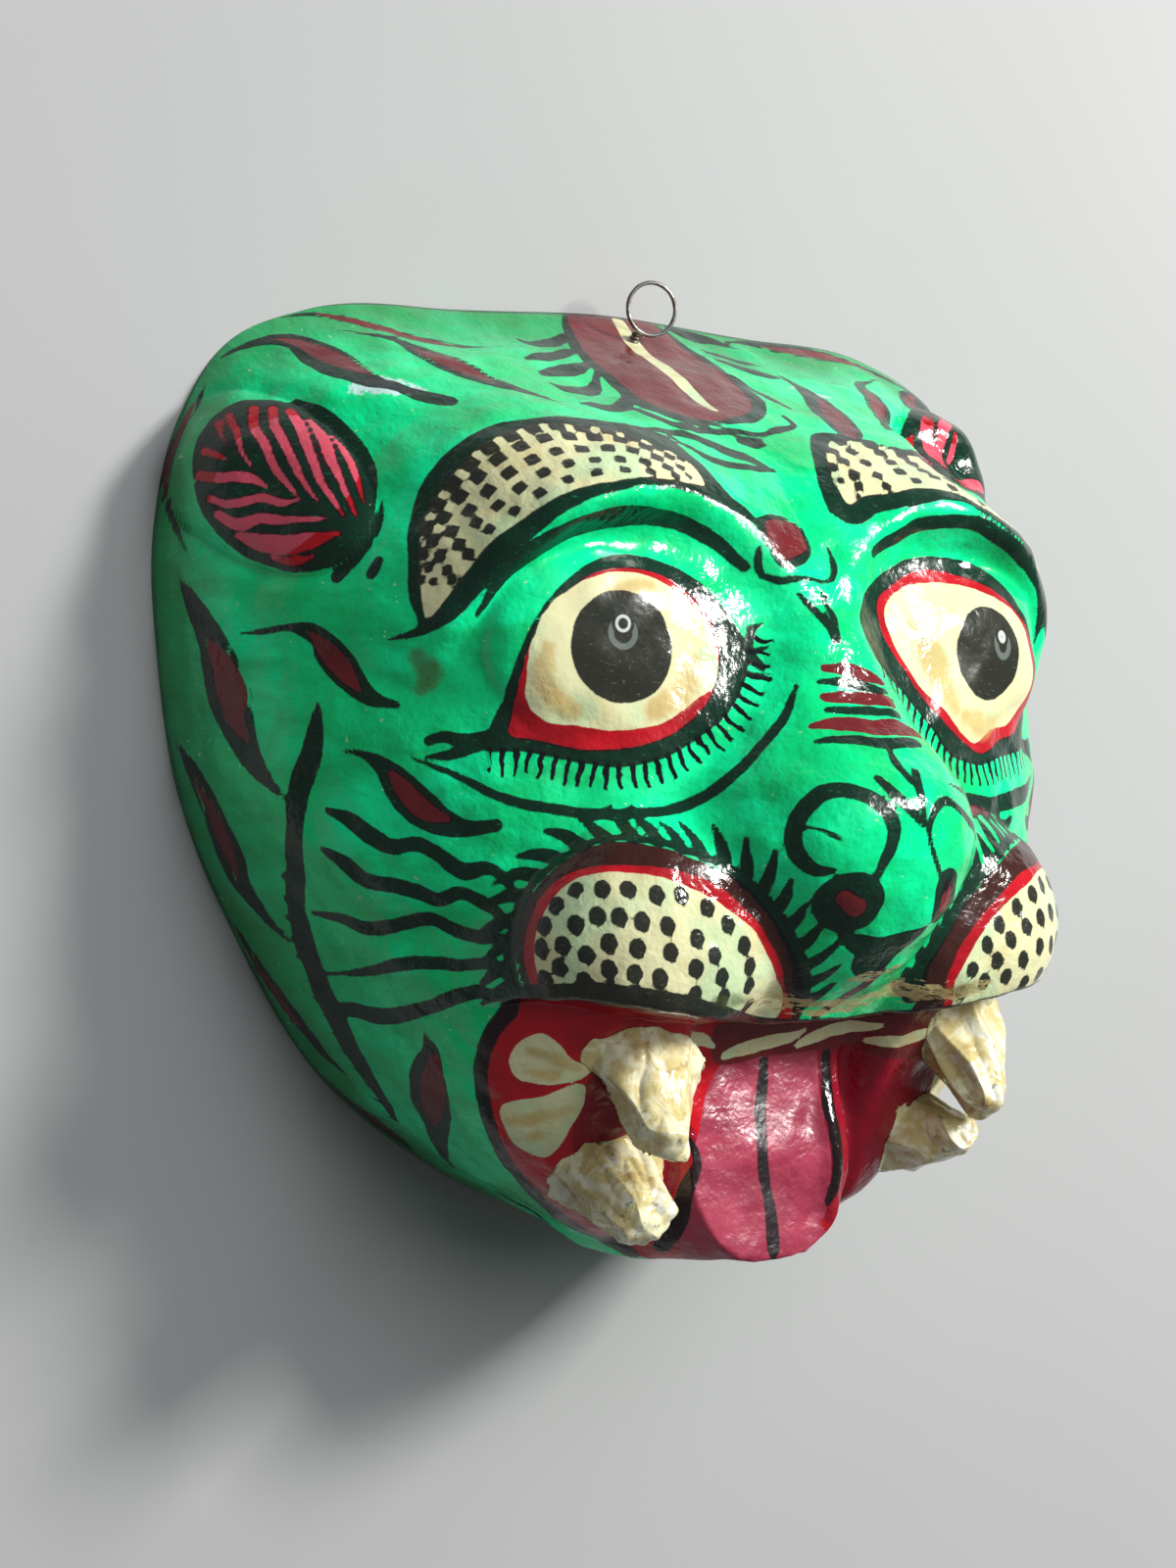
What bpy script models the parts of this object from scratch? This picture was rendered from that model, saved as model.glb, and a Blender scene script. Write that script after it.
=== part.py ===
"""Papier-mache tiger mask: one hollow pulled shell with four glued paper fangs and a wire ring.

Sizes are millimetres until the last step of make(), which writes metres.  The mask lies face up
on its flat rim: x to the viewer's right, y to the top of the head, z out of the face.
"""
import bpy
import numpy as np
from math import cos, pi, radians, sin

# ---------------------------------------------------------------- driving dimensions
CENTRE_Y = 12.0           # where the radii of the outline are measured from
ORIGIN_Y = 15.61         # middle of the whole piece, top to bottom
RIM = [(0, 130), (50, 127.5), (92, 124), (114, 114.5), (127, 96), (133.5, 68), (131.5, 38),
       (125, 6), (108, -29), (83, -64), (54, -86), (27, -99.5), (0, -105)]
WALL = 3.6                # thickness of the paper wall
CREST = 92.0              # height of the plain dome
EYE = (54, 43, 34, 27)    # eyeball centre and half axes
PAD = (45, -23, 38, 30)   # muzzle pad centre and half axes
EAR = (117, 80, 15, 22)   # ear boss centre and half axes
EAR_OUT, EAR_UP = 5.0, 4.0
RIGHT_EAR = (95, 97, 18, 15)
RIGHT_OUT, RIGHT_UP = 3.0, 10.0
TEMPLE = (82, 93, 23, 13)   # dip behind the right brow
TEMPLE_DEEP = 24.0
GAP = 0.3                 # between glued pieces
GRID_OUT, GRID_IN = 49, 35
FANG_SIDES, FANG_RINGS = 14, 6
RING_RADIUS, RING_WIRE = 6.8, 0.55
RING_CENTRE = (4.4, 131.2, 14.4)
RING_TURN = 12.0          # degrees the ring is turned out of the wall's plane
STUB_FOOT = (0.4, 121.6, 11.0)
BROW = [(8, 64), (19, 75), (36, 82), (54, 82), (72, 76), (86, 65), (96, 50), (103, 34)]

for old in list(bpy.data.objects):
    bpy.data.objects.remove(old, do_unlink=True)


# ---------------------------------------------------------------- curves
def hermite(xs, ys, x):
    """Smooth curve through stations."""
    xs = np.asarray(xs, float)
    ys = np.asarray(ys, float)
    slope = np.gradient(ys, xs)
    i = np.clip(np.searchsorted(xs, x) - 1, 0, len(xs) - 2)
    h = xs[i + 1] - xs[i]
    t = np.clip((x - xs[i]) / h, 0, 1)
    a = (2 * t**3 - 3 * t**2 + 1) * ys[i] + (t**3 - 2 * t**2 + t) * h * slope[i]
    return a + (-2 * t**3 + 3 * t**2) * ys[i + 1] + (t**3 - t**2) * h * slope[i + 1]


def step(low, high, v):
    t = np.clip((v - low) / (high - low), 0, 1)
    return t * t * (3 - 2 * t)


def blend_max(a, b, k):
    return 0.5 * (a + b + np.sqrt((a - b)**2 + k * k))


def oval(x, y, cx, cy, rx, ry, turn=0.0):
    """1 on the edge of a turned ellipse, 0 at its centre."""
    c, s = cos(radians(turn)), sin(radians(turn))
    return ((c * (x - cx) + s * (y - cy)) / rx)**2 + ((c * (y - cy) - s * (x - cx)) / ry)**2


def cap(q, high, slope):
    """Rounded cap inside an oval that falls away ever faster outside it."""
    t = np.sqrt(np.maximum(q, 1)) - 1
    return high * np.sqrt(np.clip(1 - q, 0, None)) - slope * (t + 3 * t * t)


def smooth_line(points, count=40):
    points = np.asarray(points, float)
    run = np.r_[0, np.cumsum(np.hypot(*(points[1:] - points[:-1]).T))]
    at = np.linspace(0, run[-1], count)
    return np.stack([hermite(run, points[:, 0], at), hermite(run, points[:, 1], at)], 1)


def line_distance(x, y, line):
    """Distance to an open line, how far along it, and on which side."""
    seg = np.hypot(*(line[1:] - line[:-1]).T)
    run = np.r_[0, np.cumsum(seg)] / seg.sum()
    best = np.full(np.shape(x), 1e9)
    along = np.zeros_like(best)
    side = np.zeros_like(best)
    for i in range(len(line) - 1):
        ax, ay = line[i]
        ex, ey = line[i + 1] - line[i]
        k = np.clip(((x - ax) * ex + (y - ay) * ey) / (ex * ex + ey * ey), 0, 1)
        dx, dy = x - (ax + k * ex), y - (ay + k * ey)
        d = np.hypot(dx, dy)
        near = d < best
        best = np.where(near, d, best)
        along = np.where(near, run[i] + k * (run[i + 1] - run[i]), along)
        side = np.where(near, np.sign(ex * dy - ey * dx), side)
    return best, along, side


# ---------------------------------------------------------------- outline and relief
ANGLE = np.array([np.arctan2(x, y - CENTRE_Y) for x, y in RIM])
RADIUS = np.array([np.hypot(x, y - CENTRE_Y) for x, y in RIM])
ANGLE_ALL = np.r_[-ANGLE[2:0:-1], ANGLE, 2 * pi - ANGLE[-2:-4:-1]]
RADIUS_ALL = np.r_[RADIUS[2:0:-1], RADIUS, RADIUS[-2:-4:-1]]
BROW_LINE = smooth_line(BROW)


def rim_radius(x, y):
    return hermite(ANGLE_ALL, RADIUS_ALL, np.abs(np.arctan2(x, y - CENTRE_Y)))


def ear_boss(x, y):
    away = np.where(x < 0, oval(-x, y, *EAR), oval(x, y, *RIGHT_EAR))
    return np.clip(1 - away**1.5, 0, None)**0.7


def relief(x, y):
    """Height of the outer skin over the rim's plane."""
    ax = np.abs(x)
    s = np.clip(np.hypot(x, y - CENTRE_Y) / rim_radius(x, y), 0, 1)
    rows = [-106, -85, -66, -42, 0, 60, 130]
    high = hermite(rows, [80, 78, 79, 91, 94, CREST, CREST], y)
    power = hermite(rows, [16, 15, 12, 6, 3.4, 2, 2], y)
    root = hermite(rows, [.5, .5, .5, .52, .58, .63, .63], y) + 0.12 * step(40, 95, ax) * step(30, 90, y)
    z = high * np.clip(1 - s**power, 0, None)**root
    # the forehead slopes back to the top rim in a flatter bevel
    bevel = CREST * hermite([-.1, 0, .3, .52, .70, .76, .813, .88, .932, 1, 1.1],
                            [1, 1, .97, .83, .655, .57, .445, .29, .14, 0, -.2], s)
    up = (y - CENTRE_Y) / np.maximum(np.hypot(x, y - CENTRE_Y), 1e-6)
    w = step(cos(radians(60)), cos(radians(38)), up) * step(0.15, 0.5, s)
    z = z * (1 - w) + np.maximum(bevel, 0) * w
    jaw = z.copy()
    # brow roll
    d, t, side = line_distance(ax, y, BROW_LINE)
    roll = hermite([0, .2, .45, .7, .88, 1], [6, 13, 18, 17, 9, 0], t)
    z = z + roll * np.exp(-(d / np.where(side > 0, 19.0, 9.5))**2)
    # nose, eyeballs, muzzle pads and ears
    ridge = hermite([-50, -42, -34, -21, -5, 11, 26, 54, 73, 95, 130],
                    [90, 98, 107, 119, 125, 124, 109, 91, 70, 40, -30], y)
    half = hermite([-50, -21, 0, 12, 30, 55, 75, 130], [22, 26, 35, 32, 25, 18, 15, 12], y)
    z = blend_max(z, ridge - 18 * np.minimum((ax / half)**2, 9)**1.4, 9)
    z = blend_max(z, 70 + cap(oval(ax, y, *EYE, 8), 17, 45), 4)
    z = blend_max(z, 80 + cap(oval(ax, y, *PAD, -3)**1.25, 28, 60), 5)
    z = z - TEMPLE_DEEP * np.exp(-oval(x, y, *TEMPLE)**1.3)
    z = z + np.where(x < 0, EAR_UP, RIGHT_UP) * ear_boss(x, y)
    # below the upper lip the face drops back to the red front of the jaw and the tongue
    lip = hermite([0, 18, 34, 50, 64, 74, 82, 110], [-44.2, -44, -42.3, -39.7, -37.6, -36.8, -38.5, -60], ax)
    hollow = 12 * step(36, 22, ax) * step(-80, -55, y)
    groove = 2.5 * np.exp(-((ax - 28) / 2.5)**2) * step(-48, -56, y)
    fold = 2.0 * np.exp(-((x - 19) / 3)**2) * step(-55, -70, y)
    tongue = hermite([-112, -103, -80, -55, -40], [80, 80, 77.5, 74, 72], y)
    tongue = tongue - 2.2 * np.clip(ax - hermite([-112, -106, -98, -86, -60], [0, 5, 15, 22, 24], y), 0, None)
    front = blend_max(jaw - hollow - groove + fold, tongue + fold, 3)
    inside = step(0, 3, lip - y)
    z = z * (1 - inside) + front * inside
    return np.minimum(z, 130 * np.clip(1 - s**24, 0, None)**0.5)


def bore(x, y):
    """Height of the inner skin: the outer skin offset inwards by the wall."""
    z = relief(x, y) - WALL
    for share, count in ((0.6, 8), (0.95, 12)):
        r = share * WALL
        drop = (WALL**2 - r * r)**0.5
        for k in range(count):
            a = 2 * pi * k / count
            z = np.minimum(z, relief(x + r * cos(a), y + r * sin(a)) - drop)
    return np.maximum(z, 0)


def overhang(x, y, z):
    """The chin wall swells a little past the rim, and the ears stand out sideways."""
    ax = np.abs(x)
    g = (0.03 + 0.05 * step(8, 32, ax) * step(100, 70, ax)) * step(-40, -90, y)
    g = g * np.exp(-((z - 62) / 32)**2)
    out = np.where(x < 0, EAR_OUT, RIGHT_OUT) * ear_boss(x, y) * step(0, 10, z)
    return np.stack([x * (1 + g) + np.sign(x) * out, CENTRE_Y + (y - CENTRE_Y) * (1 + g), z], -1)


# ---------------------------------------------------------------- shell mesh
def skin_grid(count, height, inset):
    """Square grid wrapped over the face, spread evenly along the surface; the edge stays on the rim."""
    fine = 4 * (count - 1) + 1
    a = np.linspace(-1, 1, fine)
    a, b = np.meshgrid(a, a)
    u, v = a * np.sqrt(1 - b * b / 2), b * np.sqrt(1 - a * a / 2)
    rho = np.clip(np.hypot(u, v), 0, 1)
    k = np.where(rho > 1e-9, np.sin(rho * pi / 2) / np.maximum(rho, 1e-9), pi / 2)
    u, v = u * k, v * k
    r = rim_radius(u, v + CENTRE_Y) - inset
    x, y = u * r, CENTRE_Y + v * r
    for turn in range(6):
        p = overhang(x, y, height(x, y))
        run = np.sqrt((np.diff(p, axis=1)**2).sum(-1)) + 1e-6
        run = np.concatenate([np.zeros((fine, 1)), np.cumsum(run, 1)], 1)
        for row in range(fine):
            at = np.linspace(0, run[row, -1], fine)
            x[row] = np.interp(at, run[row], x[row])
            y[row] = np.interp(at, run[row], y[row])
        x, y = x.T.copy(), y.T.copy()
    x, y = x[::4, ::4], y[::4, ::4]
    z = height(x, y)
    z[0], z[-1], z[:, 0], z[:, -1] = 0, 0, 0, 0
    p = overhang(x, y, z)
    p[..., 0] = (p[..., 0] - p[:, ::-1, 0]) / 2
    return p


def edge_loop(count, first):
    """Indices round the edge of a grid, anticlockwise seen from the front."""
    g = first + np.arange(count * count).reshape(count, count)
    return np.concatenate([g[0, :-1], g[:-1, -1], g[-1, :0:-1], g[:0:-1, 0]])


def grid_faces(count, first, inward):
    """Triangles of a grid, with mirrored diagonals on the two sides of the face."""
    g = first + np.arange(count * count).reshape(count, count)
    half = (count - 1) // 2
    tris = []
    for part, flip in ((g[:, :half + 1], False), (g[:, half:], True)):
        a, b, c, d = (k.ravel() for k in (part[:-1, :-1], part[:-1, 1:], part[1:, 1:], part[1:, :-1]))
        if flip:
            tris += [np.stack([a, b, d], -1), np.stack([b, c, d], -1)]
        else:
            tris += [np.stack([a, b, c], -1), np.stack([a, c, d], -1)]
    tris = np.concatenate(tris)
    return tris[:, ::-1] if inward else tris


def rim_strip(points, outer, inner):
    """Flat face of the rim between two loops with different counts."""
    mid = np.array([0, CENTRE_Y])

    def turn(loop):
        a = np.arctan2(points[loop, 1] - mid[1], points[loop, 0] - mid[0])
        return np.unwrap(a)

    ta, tb = turn(outer), turn(inner)
    tb = tb + 2 * pi * round((ta[0] - tb[0]) / (2 * pi))
    ta, tb = np.r_[ta, ta[0] + 2 * pi], np.r_[tb, tb[0] + 2 * pi]
    i = j = 0
    faces = []
    while i < len(outer) or j < len(inner):
        a, b = outer[i % len(outer)], inner[j % len(inner)]
        if j >= len(inner) or (i < len(outer) and ta[i + 1] <= tb[j + 1]):
            faces.append((outer[(i + 1) % len(outer)], a, b))
            i += 1
        else:
            faces.append((a, b, inner[(j + 1) % len(inner)]))
            j += 1
    return faces


def make(name, points, faces, colour, rough, metal=0.0):
    points = np.asarray(points, float) - np.array([0, ORIGIN_Y, 0])
    mesh = bpy.data.meshes.new(name)
    mesh.from_pydata((points * 0.001).tolist(), [], [tuple(int(k) for k in f) for f in faces])
    mesh.validate()
    for poly in mesh.polygons:
        poly.use_smooth = True
    item = bpy.data.objects.new(name, mesh)
    bpy.context.scene.collection.objects.link(item)
    skin = bpy.data.materials.new(name)
    skin.use_nodes = True
    shader = skin.node_tree.nodes["Principled BSDF"]
    shader.inputs["Base Color"].default_value = (*colour, 1)
    shader.inputs["Roughness"].default_value = rough
    shader.inputs["Metallic"].default_value = metal
    mesh.materials.append(skin)
    return item


outer = skin_grid(GRID_OUT, relief, 0.0)
inner = skin_grid(GRID_IN, bore, WALL)
points = np.concatenate([outer.reshape(-1, 3), inner.reshape(-1, 3)])
first = GRID_OUT**2
faces = list(map(tuple, grid_faces(GRID_OUT, 0, False)))
faces += list(map(tuple, grid_faces(GRID_IN, first, True)))
faces += rim_strip(points, edge_loop(GRID_OUT, 0), edge_loop(GRID_IN, first))
shell = make("mask_shell", points, faces, (0.02, 0.55, 0.16), 0.3)


# ---------------------------------------------------------------- cutter that keeps the glued pieces off the shell
def offset_body():
    """The outer skin moved out by the gap and closed far below the rim."""
    spread = 1 + GAP / 110
    top = (outer - [0, CENTRE_Y, 0]) * [spread, spread, 1] + [0, CENTRE_Y, GAP]
    top[..., 2] = np.where(outer[..., 2] < 0.01, 0, top[..., 2])
    loop = edge_loop(GRID_OUT, 0)
    flat = top.reshape(-1, 3)
    low = flat[loop] * [1, 1, 0] - [0, 0, 20]
    body = np.concatenate([flat, low, [[0, CENTRE_Y, -20]]])
    base = len(flat)
    count = len(loop)
    sides = list(map(tuple, grid_faces(GRID_OUT, 0, False)))
    for k in range(count):
        m = (k + 1) % count
        sides.append((loop[m], loop[k], base + k, base + m))
        sides.append((base + m, base + k, base + count))
    item = make("cutter", body, sides, (1, 0, 0), 0.5)
    item.hide_render = True
    item.display_type = "WIRE"
    return item


cutter = offset_body()


def cut(item, tool, kind):
    mod = item.modifiers.new(kind, "BOOLEAN")
    mod.object = tool
    mod.operation = kind
    mod.solver = "EXACT"


# ---------------------------------------------------------------- fangs
def fang(name, foot, tip, wide, thick, blunt, twist):
    """Rolled paper cone from a buried foot to a blunt tip, a little lumpy."""
    foot, tip = np.array(foot, float), np.array(tip, float)
    axis = (tip - foot) / np.linalg.norm(tip - foot)
    across = np.cross(axis, [0.0, 0.35, 1.0])
    across /= np.linalg.norm(across)
    other = np.cross(axis, across)
    rows = []
    for k in range(FANG_RINGS + 1):
        t = k / FANG_RINGS
        a = np.arange(FANG_SIDES) * 2 * pi / FANG_SIDES
        swell = 1 + 0.07 * np.sin(3 * a + twist + 4 * t) + 0.05 * np.sin(5 * a - twist - 3 * t)
        shrink = (1 - t)**0.9
        if k == FANG_RINGS:
            shrink, swell = 0.0, swell * 0.62
        rx = blunt + (wide - blunt) * shrink
        ry = blunt + (thick - blunt) * shrink
        ring = (rx * np.cos(a) * swell)[:, None] * across + (ry * np.sin(a) * swell)[:, None] * other
        rows.append(foot + (tip - foot) * min(t * 1.08, 1.0) + ring)
    body = np.concatenate(rows + [[foot], [tip + axis * blunt * 0.25]])
    n = FANG_SIDES
    sides = []
    for k in range(FANG_RINGS):
        for m in range(n):
            w = (m + 1) % n
            sides.append((k * n + m, k * n + w, (k + 1) * n + w, (k + 1) * n + m))
    last = len(body)
    for m in range(n):
        w = (m + 1) % n
        sides.append((w, m, last - 2))
        sides.append((FANG_RINGS * n + m, FANG_RINGS * n + w, last - 1))
    item = make(name, body, sides, (0.78, 0.68, 0.45), 0.35)
    cut(item, cutter, "DIFFERENCE")
    return item


fang("fang_upper_left", (-42, -48, 80), (-51, -72, 99), 15, 11, 6.0, 0.4)
fang("fang_upper_right", (58, -48, 79), (56, -69, 98), 13, 11, 5.6, 2.1)
fang("fang_lower_left", (-41, -81, 63), (-49, -91, 93), 13, 11, 6.0, 1.3)
fang("fang_lower_right", (52, -80, 60), (55, -80, 90), 12, 11, 5.2, 3.0)


# ---------------------------------------------------------------- wire ring
def ring(name):
    """Round wire bent into a ring, with a short wrapped stub down to the forehead."""
    turn = radians(RING_TURN)
    right = np.array([cos(turn), 0, sin(turn)])
    up = np.array([0.0, 1.0, 0.0])
    out = np.cross(right, up)
    centre = np.array(RING_CENTRE)
    steps, sides = 28, 8
    body = []
    for i in range(steps):
        a = 2 * pi * i / steps
        spoke = right * cos(a) + up * sin(a)
        for j in range(sides):
            b = 2 * pi * j / sides
            body.append(centre + spoke * (RING_RADIUS + RING_WIRE * cos(b)) + out * RING_WIRE * sin(b))
    quads = []
    for i in range(steps):
        for j in range(sides):
            k, m = (i + 1) % steps, (j + 1) % sides
            quads.append((i * sides + j, k * sides + j, k * sides + m, i * sides + m))
    item = make(name, body, quads, (0.35, 0.36, 0.38), 0.35, 1.0)
    foot = np.array(STUB_FOOT)
    a = np.arctan2(np.dot(foot - centre, up), np.dot(foot - centre, right))
    low = centre + (right * cos(a) + up * sin(a)) * RING_RADIUS
    axis = (low - foot) / np.linalg.norm(low - foot)
    across = np.cross(axis, out)
    across /= np.linalg.norm(across)
    other = np.cross(axis, across)
    stub = []
    for end, r in ((foot - axis * 1.5, 1.15), (low + axis * 0.9, 1.15)):
        for j in range(10):
            b = 2 * pi * j / 10
            stub.append(end + r * (across * cos(b) + other * sin(b)))
    caps = [tuple(range(9, -1, -1)), tuple(range(10, 20))]
    walls = [(j, (j + 1) % 10, 10 + (j + 1) % 10, 10 + j) for j in range(10)]
    post = make("post", stub, caps + walls, (0.1, 0.1, 0.1), 0.5)
    post.hide_render = True
    post.display_type = "WIRE"
    cut(item, post, "UNION")
    cut(item, cutter, "DIFFERENCE")
    return item


ring("hanging_ring")
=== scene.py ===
import bpy
import numpy as np
from math import cos, pi, radians, sin
from mathutils import Matrix, Vector
from mathutils.bvhtree import BVHTree


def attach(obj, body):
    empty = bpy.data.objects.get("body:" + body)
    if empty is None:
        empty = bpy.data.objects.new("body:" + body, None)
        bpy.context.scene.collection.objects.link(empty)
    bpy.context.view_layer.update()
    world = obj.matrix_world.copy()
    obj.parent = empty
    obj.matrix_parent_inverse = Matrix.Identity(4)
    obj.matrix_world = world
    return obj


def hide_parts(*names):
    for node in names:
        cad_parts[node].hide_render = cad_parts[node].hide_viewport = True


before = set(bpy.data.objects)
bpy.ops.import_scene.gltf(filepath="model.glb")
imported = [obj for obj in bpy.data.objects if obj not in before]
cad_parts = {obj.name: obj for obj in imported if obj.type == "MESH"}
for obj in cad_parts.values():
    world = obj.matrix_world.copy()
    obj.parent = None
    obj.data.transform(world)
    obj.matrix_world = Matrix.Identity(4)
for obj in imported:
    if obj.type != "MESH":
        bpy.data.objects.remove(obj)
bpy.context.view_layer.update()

# ================================================================ mask shell: form
# The face is one pulled shell of paper and paste, pressed over a mould and cut off flat at
# the rim.  Sizes are millimetres: x to the viewer's right, y to the top of the head from a
# point MIDDLE_Y below the middle of the whole piece, and z out of the face.
MIDDLE_Y = 15.61
CENTRE_Y = 12.0             # where the radii of the rim are measured from
RIM = [(0, 130), (50, 127.5), (92, 124), (114, 114.5), (127, 96), (133.5, 68), (131.5, 38),
       (125, 6), (108, -29), (83, -64), (54, -86), (27, -99.5), (0, -105)]
WALL = 3.6                  # thickness of the paper wall
CREST = 92.0                # height of the plain dome
EDGE_HIGH = 130.0           # how high the steep edge would rise if the face didn't end it
EYE = (54, 43, 34, 27)      # eyeball centre and half axes
EYE_GROUND, EYE_HIGH, EYE_FALL = 70, 17, 45
PAD = (45, -23, 38, 30)     # muzzle pad centre and half axes
PAD_GROUND, PAD_HIGH, PAD_FALL = 80, 28, 60
NOSE_FALL = 18              # how far the nose falls away at its half width
EAR = (117, 80, 15, 22)     # ear boss centre and half axes
EAR_OUT, EAR_UP = 5.0, 4.0
RIGHT_EAR = (95, 97, 18, 15)
RIGHT_OUT, RIGHT_UP = 3.0, 10.0
TEMPLE = (82, 93, 23, 13)   # dip behind the right brow
TEMPLE_DEEP = 24.0
MOUTH_DEEP, GROOVE_DEEP, FOLD_HIGH = 12, 2.5, 2.0
BROW = [(8, 64), (19, 75), (36, 82), (54, 82), (72, 76), (86, 65), (96, 50), (103, 34)]
LIP = [(0, -44.2), (18, -44), (34, -42.3), (50, -39.7), (64, -37.6), (74, -36.8), (82, -38.5),
       (110, -60)]
OUTSIDE_ROWS, INSIDE_ROWS = 301, 85
FIRST_OUTSIDE, FIRST_INSIDE = 145, 109      # rows while the grids are being evened out
EVENING_ROUNDS, SMOOTHING_ROUNDS = 8, 6


def hermite(xs, ys, x):
    """Smooth curve through stations: cubic Hermite pieces with central slopes."""
    xs = np.asarray(xs, float)
    ys = np.asarray(ys, float)
    slope = np.gradient(ys, xs)
    i = np.clip(np.searchsorted(xs, x) - 1, 0, len(xs) - 2)
    h = xs[i + 1] - xs[i]
    t = np.clip((x - xs[i]) / h, 0, 1)
    a = (2 * t**3 - 3 * t**2 + 1) * ys[i] + (t**3 - 2 * t**2 + t) * h * slope[i]
    return a + (-2 * t**3 + 3 * t**2) * ys[i + 1] + (t**3 - t**2) * h * slope[i + 1]


def step(low, high, v):
    """Smooth rise from 0 at low to 1 at high: 3t^2 - 2t^3."""
    t = np.clip((v - low) / (high - low), 0, 1)
    return t * t * (3 - 2 * t)


def blend_max(a, b, k):
    """The larger of two heights, with the corner between them rounded over k."""
    return 0.5 * (a + b + np.sqrt((a - b)**2 + k * k))


def oval(x, y, cx, cy, rx, ry, turn=0.0):
    """Squared distance from a turned ellipse's centre, 1 on its edge."""
    c, s = cos(radians(turn)), sin(radians(turn))
    return ((c * (x - cx) + s * (y - cy)) / rx)**2 + ((c * (y - cy) - s * (x - cx)) / ry)**2


def cap(q, high, slope):
    """Rounded cap inside an oval that falls away ever faster outside it."""
    t = np.sqrt(np.maximum(q, 1)) - 1
    return high * np.sqrt(np.clip(1 - q, 0, None)) - slope * (t + 3 * t * t)


def smooth_run(points, count, closed=False):
    """Points spread evenly along a smooth curve through a few stations."""
    points = np.asarray(points, float)
    if closed:
        points = np.concatenate([points[-2:], points, points[:2]])
    gap = np.sqrt(((points[1:, :3] - points[:-1, :3])**2).sum(1)) + 1e-6
    run = np.r_[0, np.cumsum(gap)]
    first, last = (run[2], run[-2]) if closed else (0, run[-1])
    at = np.linspace(first, last, count)
    return np.stack([hermite(run, points[:, k], at) for k in range(points.shape[1])], 1)


def line_distance(x, y, line):
    """Distance to an open line, how far along it (0 to 1), and on which side of it."""
    seg = np.hypot(*(line[1:] - line[:-1]).T)
    run = np.r_[0, np.cumsum(seg)] / seg.sum()
    best = np.full(np.shape(x), 1e9)
    along = np.zeros_like(best)
    side = np.zeros_like(best)
    for i in range(len(line) - 1):
        ax, ay = line[i]
        ex, ey = line[i + 1] - line[i]
        k = np.clip(((x - ax) * ex + (y - ay) * ey) / (ex * ex + ey * ey), 0, 1)
        dx, dy = x - (ax + k * ex), y - (ay + k * ey)
        d = np.hypot(dx, dy)
        near = d < best
        best = np.where(near, d, best)
        along = np.where(near, run[i] + k * (run[i + 1] - run[i]), along)
        side = np.where(near, np.sign(ex * dy - ey * dx), side)
    return best, along, side


ANGLE = np.array([np.arctan2(x, y - CENTRE_Y) for x, y in RIM])
RADIUS = np.array([np.hypot(x, y - CENTRE_Y) for x, y in RIM])
ANGLE_ALL = np.r_[-ANGLE[2:0:-1], ANGLE, 2 * pi - ANGLE[-2:-4:-1]]
RADIUS_ALL = np.r_[RADIUS[2:0:-1], RADIUS, RADIUS[-2:-4:-1]]
BROW_LINE = smooth_run(BROW, 40)


def rim_radius(x, y):
    """Radius of the rim's outline in the direction of a point."""
    return hermite(ANGLE_ALL, RADIUS_ALL, np.abs(np.arctan2(x, y - CENTRE_Y)))


def ear_boss(x, y):
    """Low round swelling where the ear is painted, 1 at its middle."""
    away = np.where(x < 0, oval(-x, y, *EAR), oval(x, y, *RIGHT_EAR))
    return np.clip(1 - away**1.5, 0, None)**0.7


def lip_line(ax):
    """Where the upper lip ends, as a height y for a distance from the middle."""
    return hermite([p[0] for p in LIP], [p[1] for p in LIP], ax)


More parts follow.
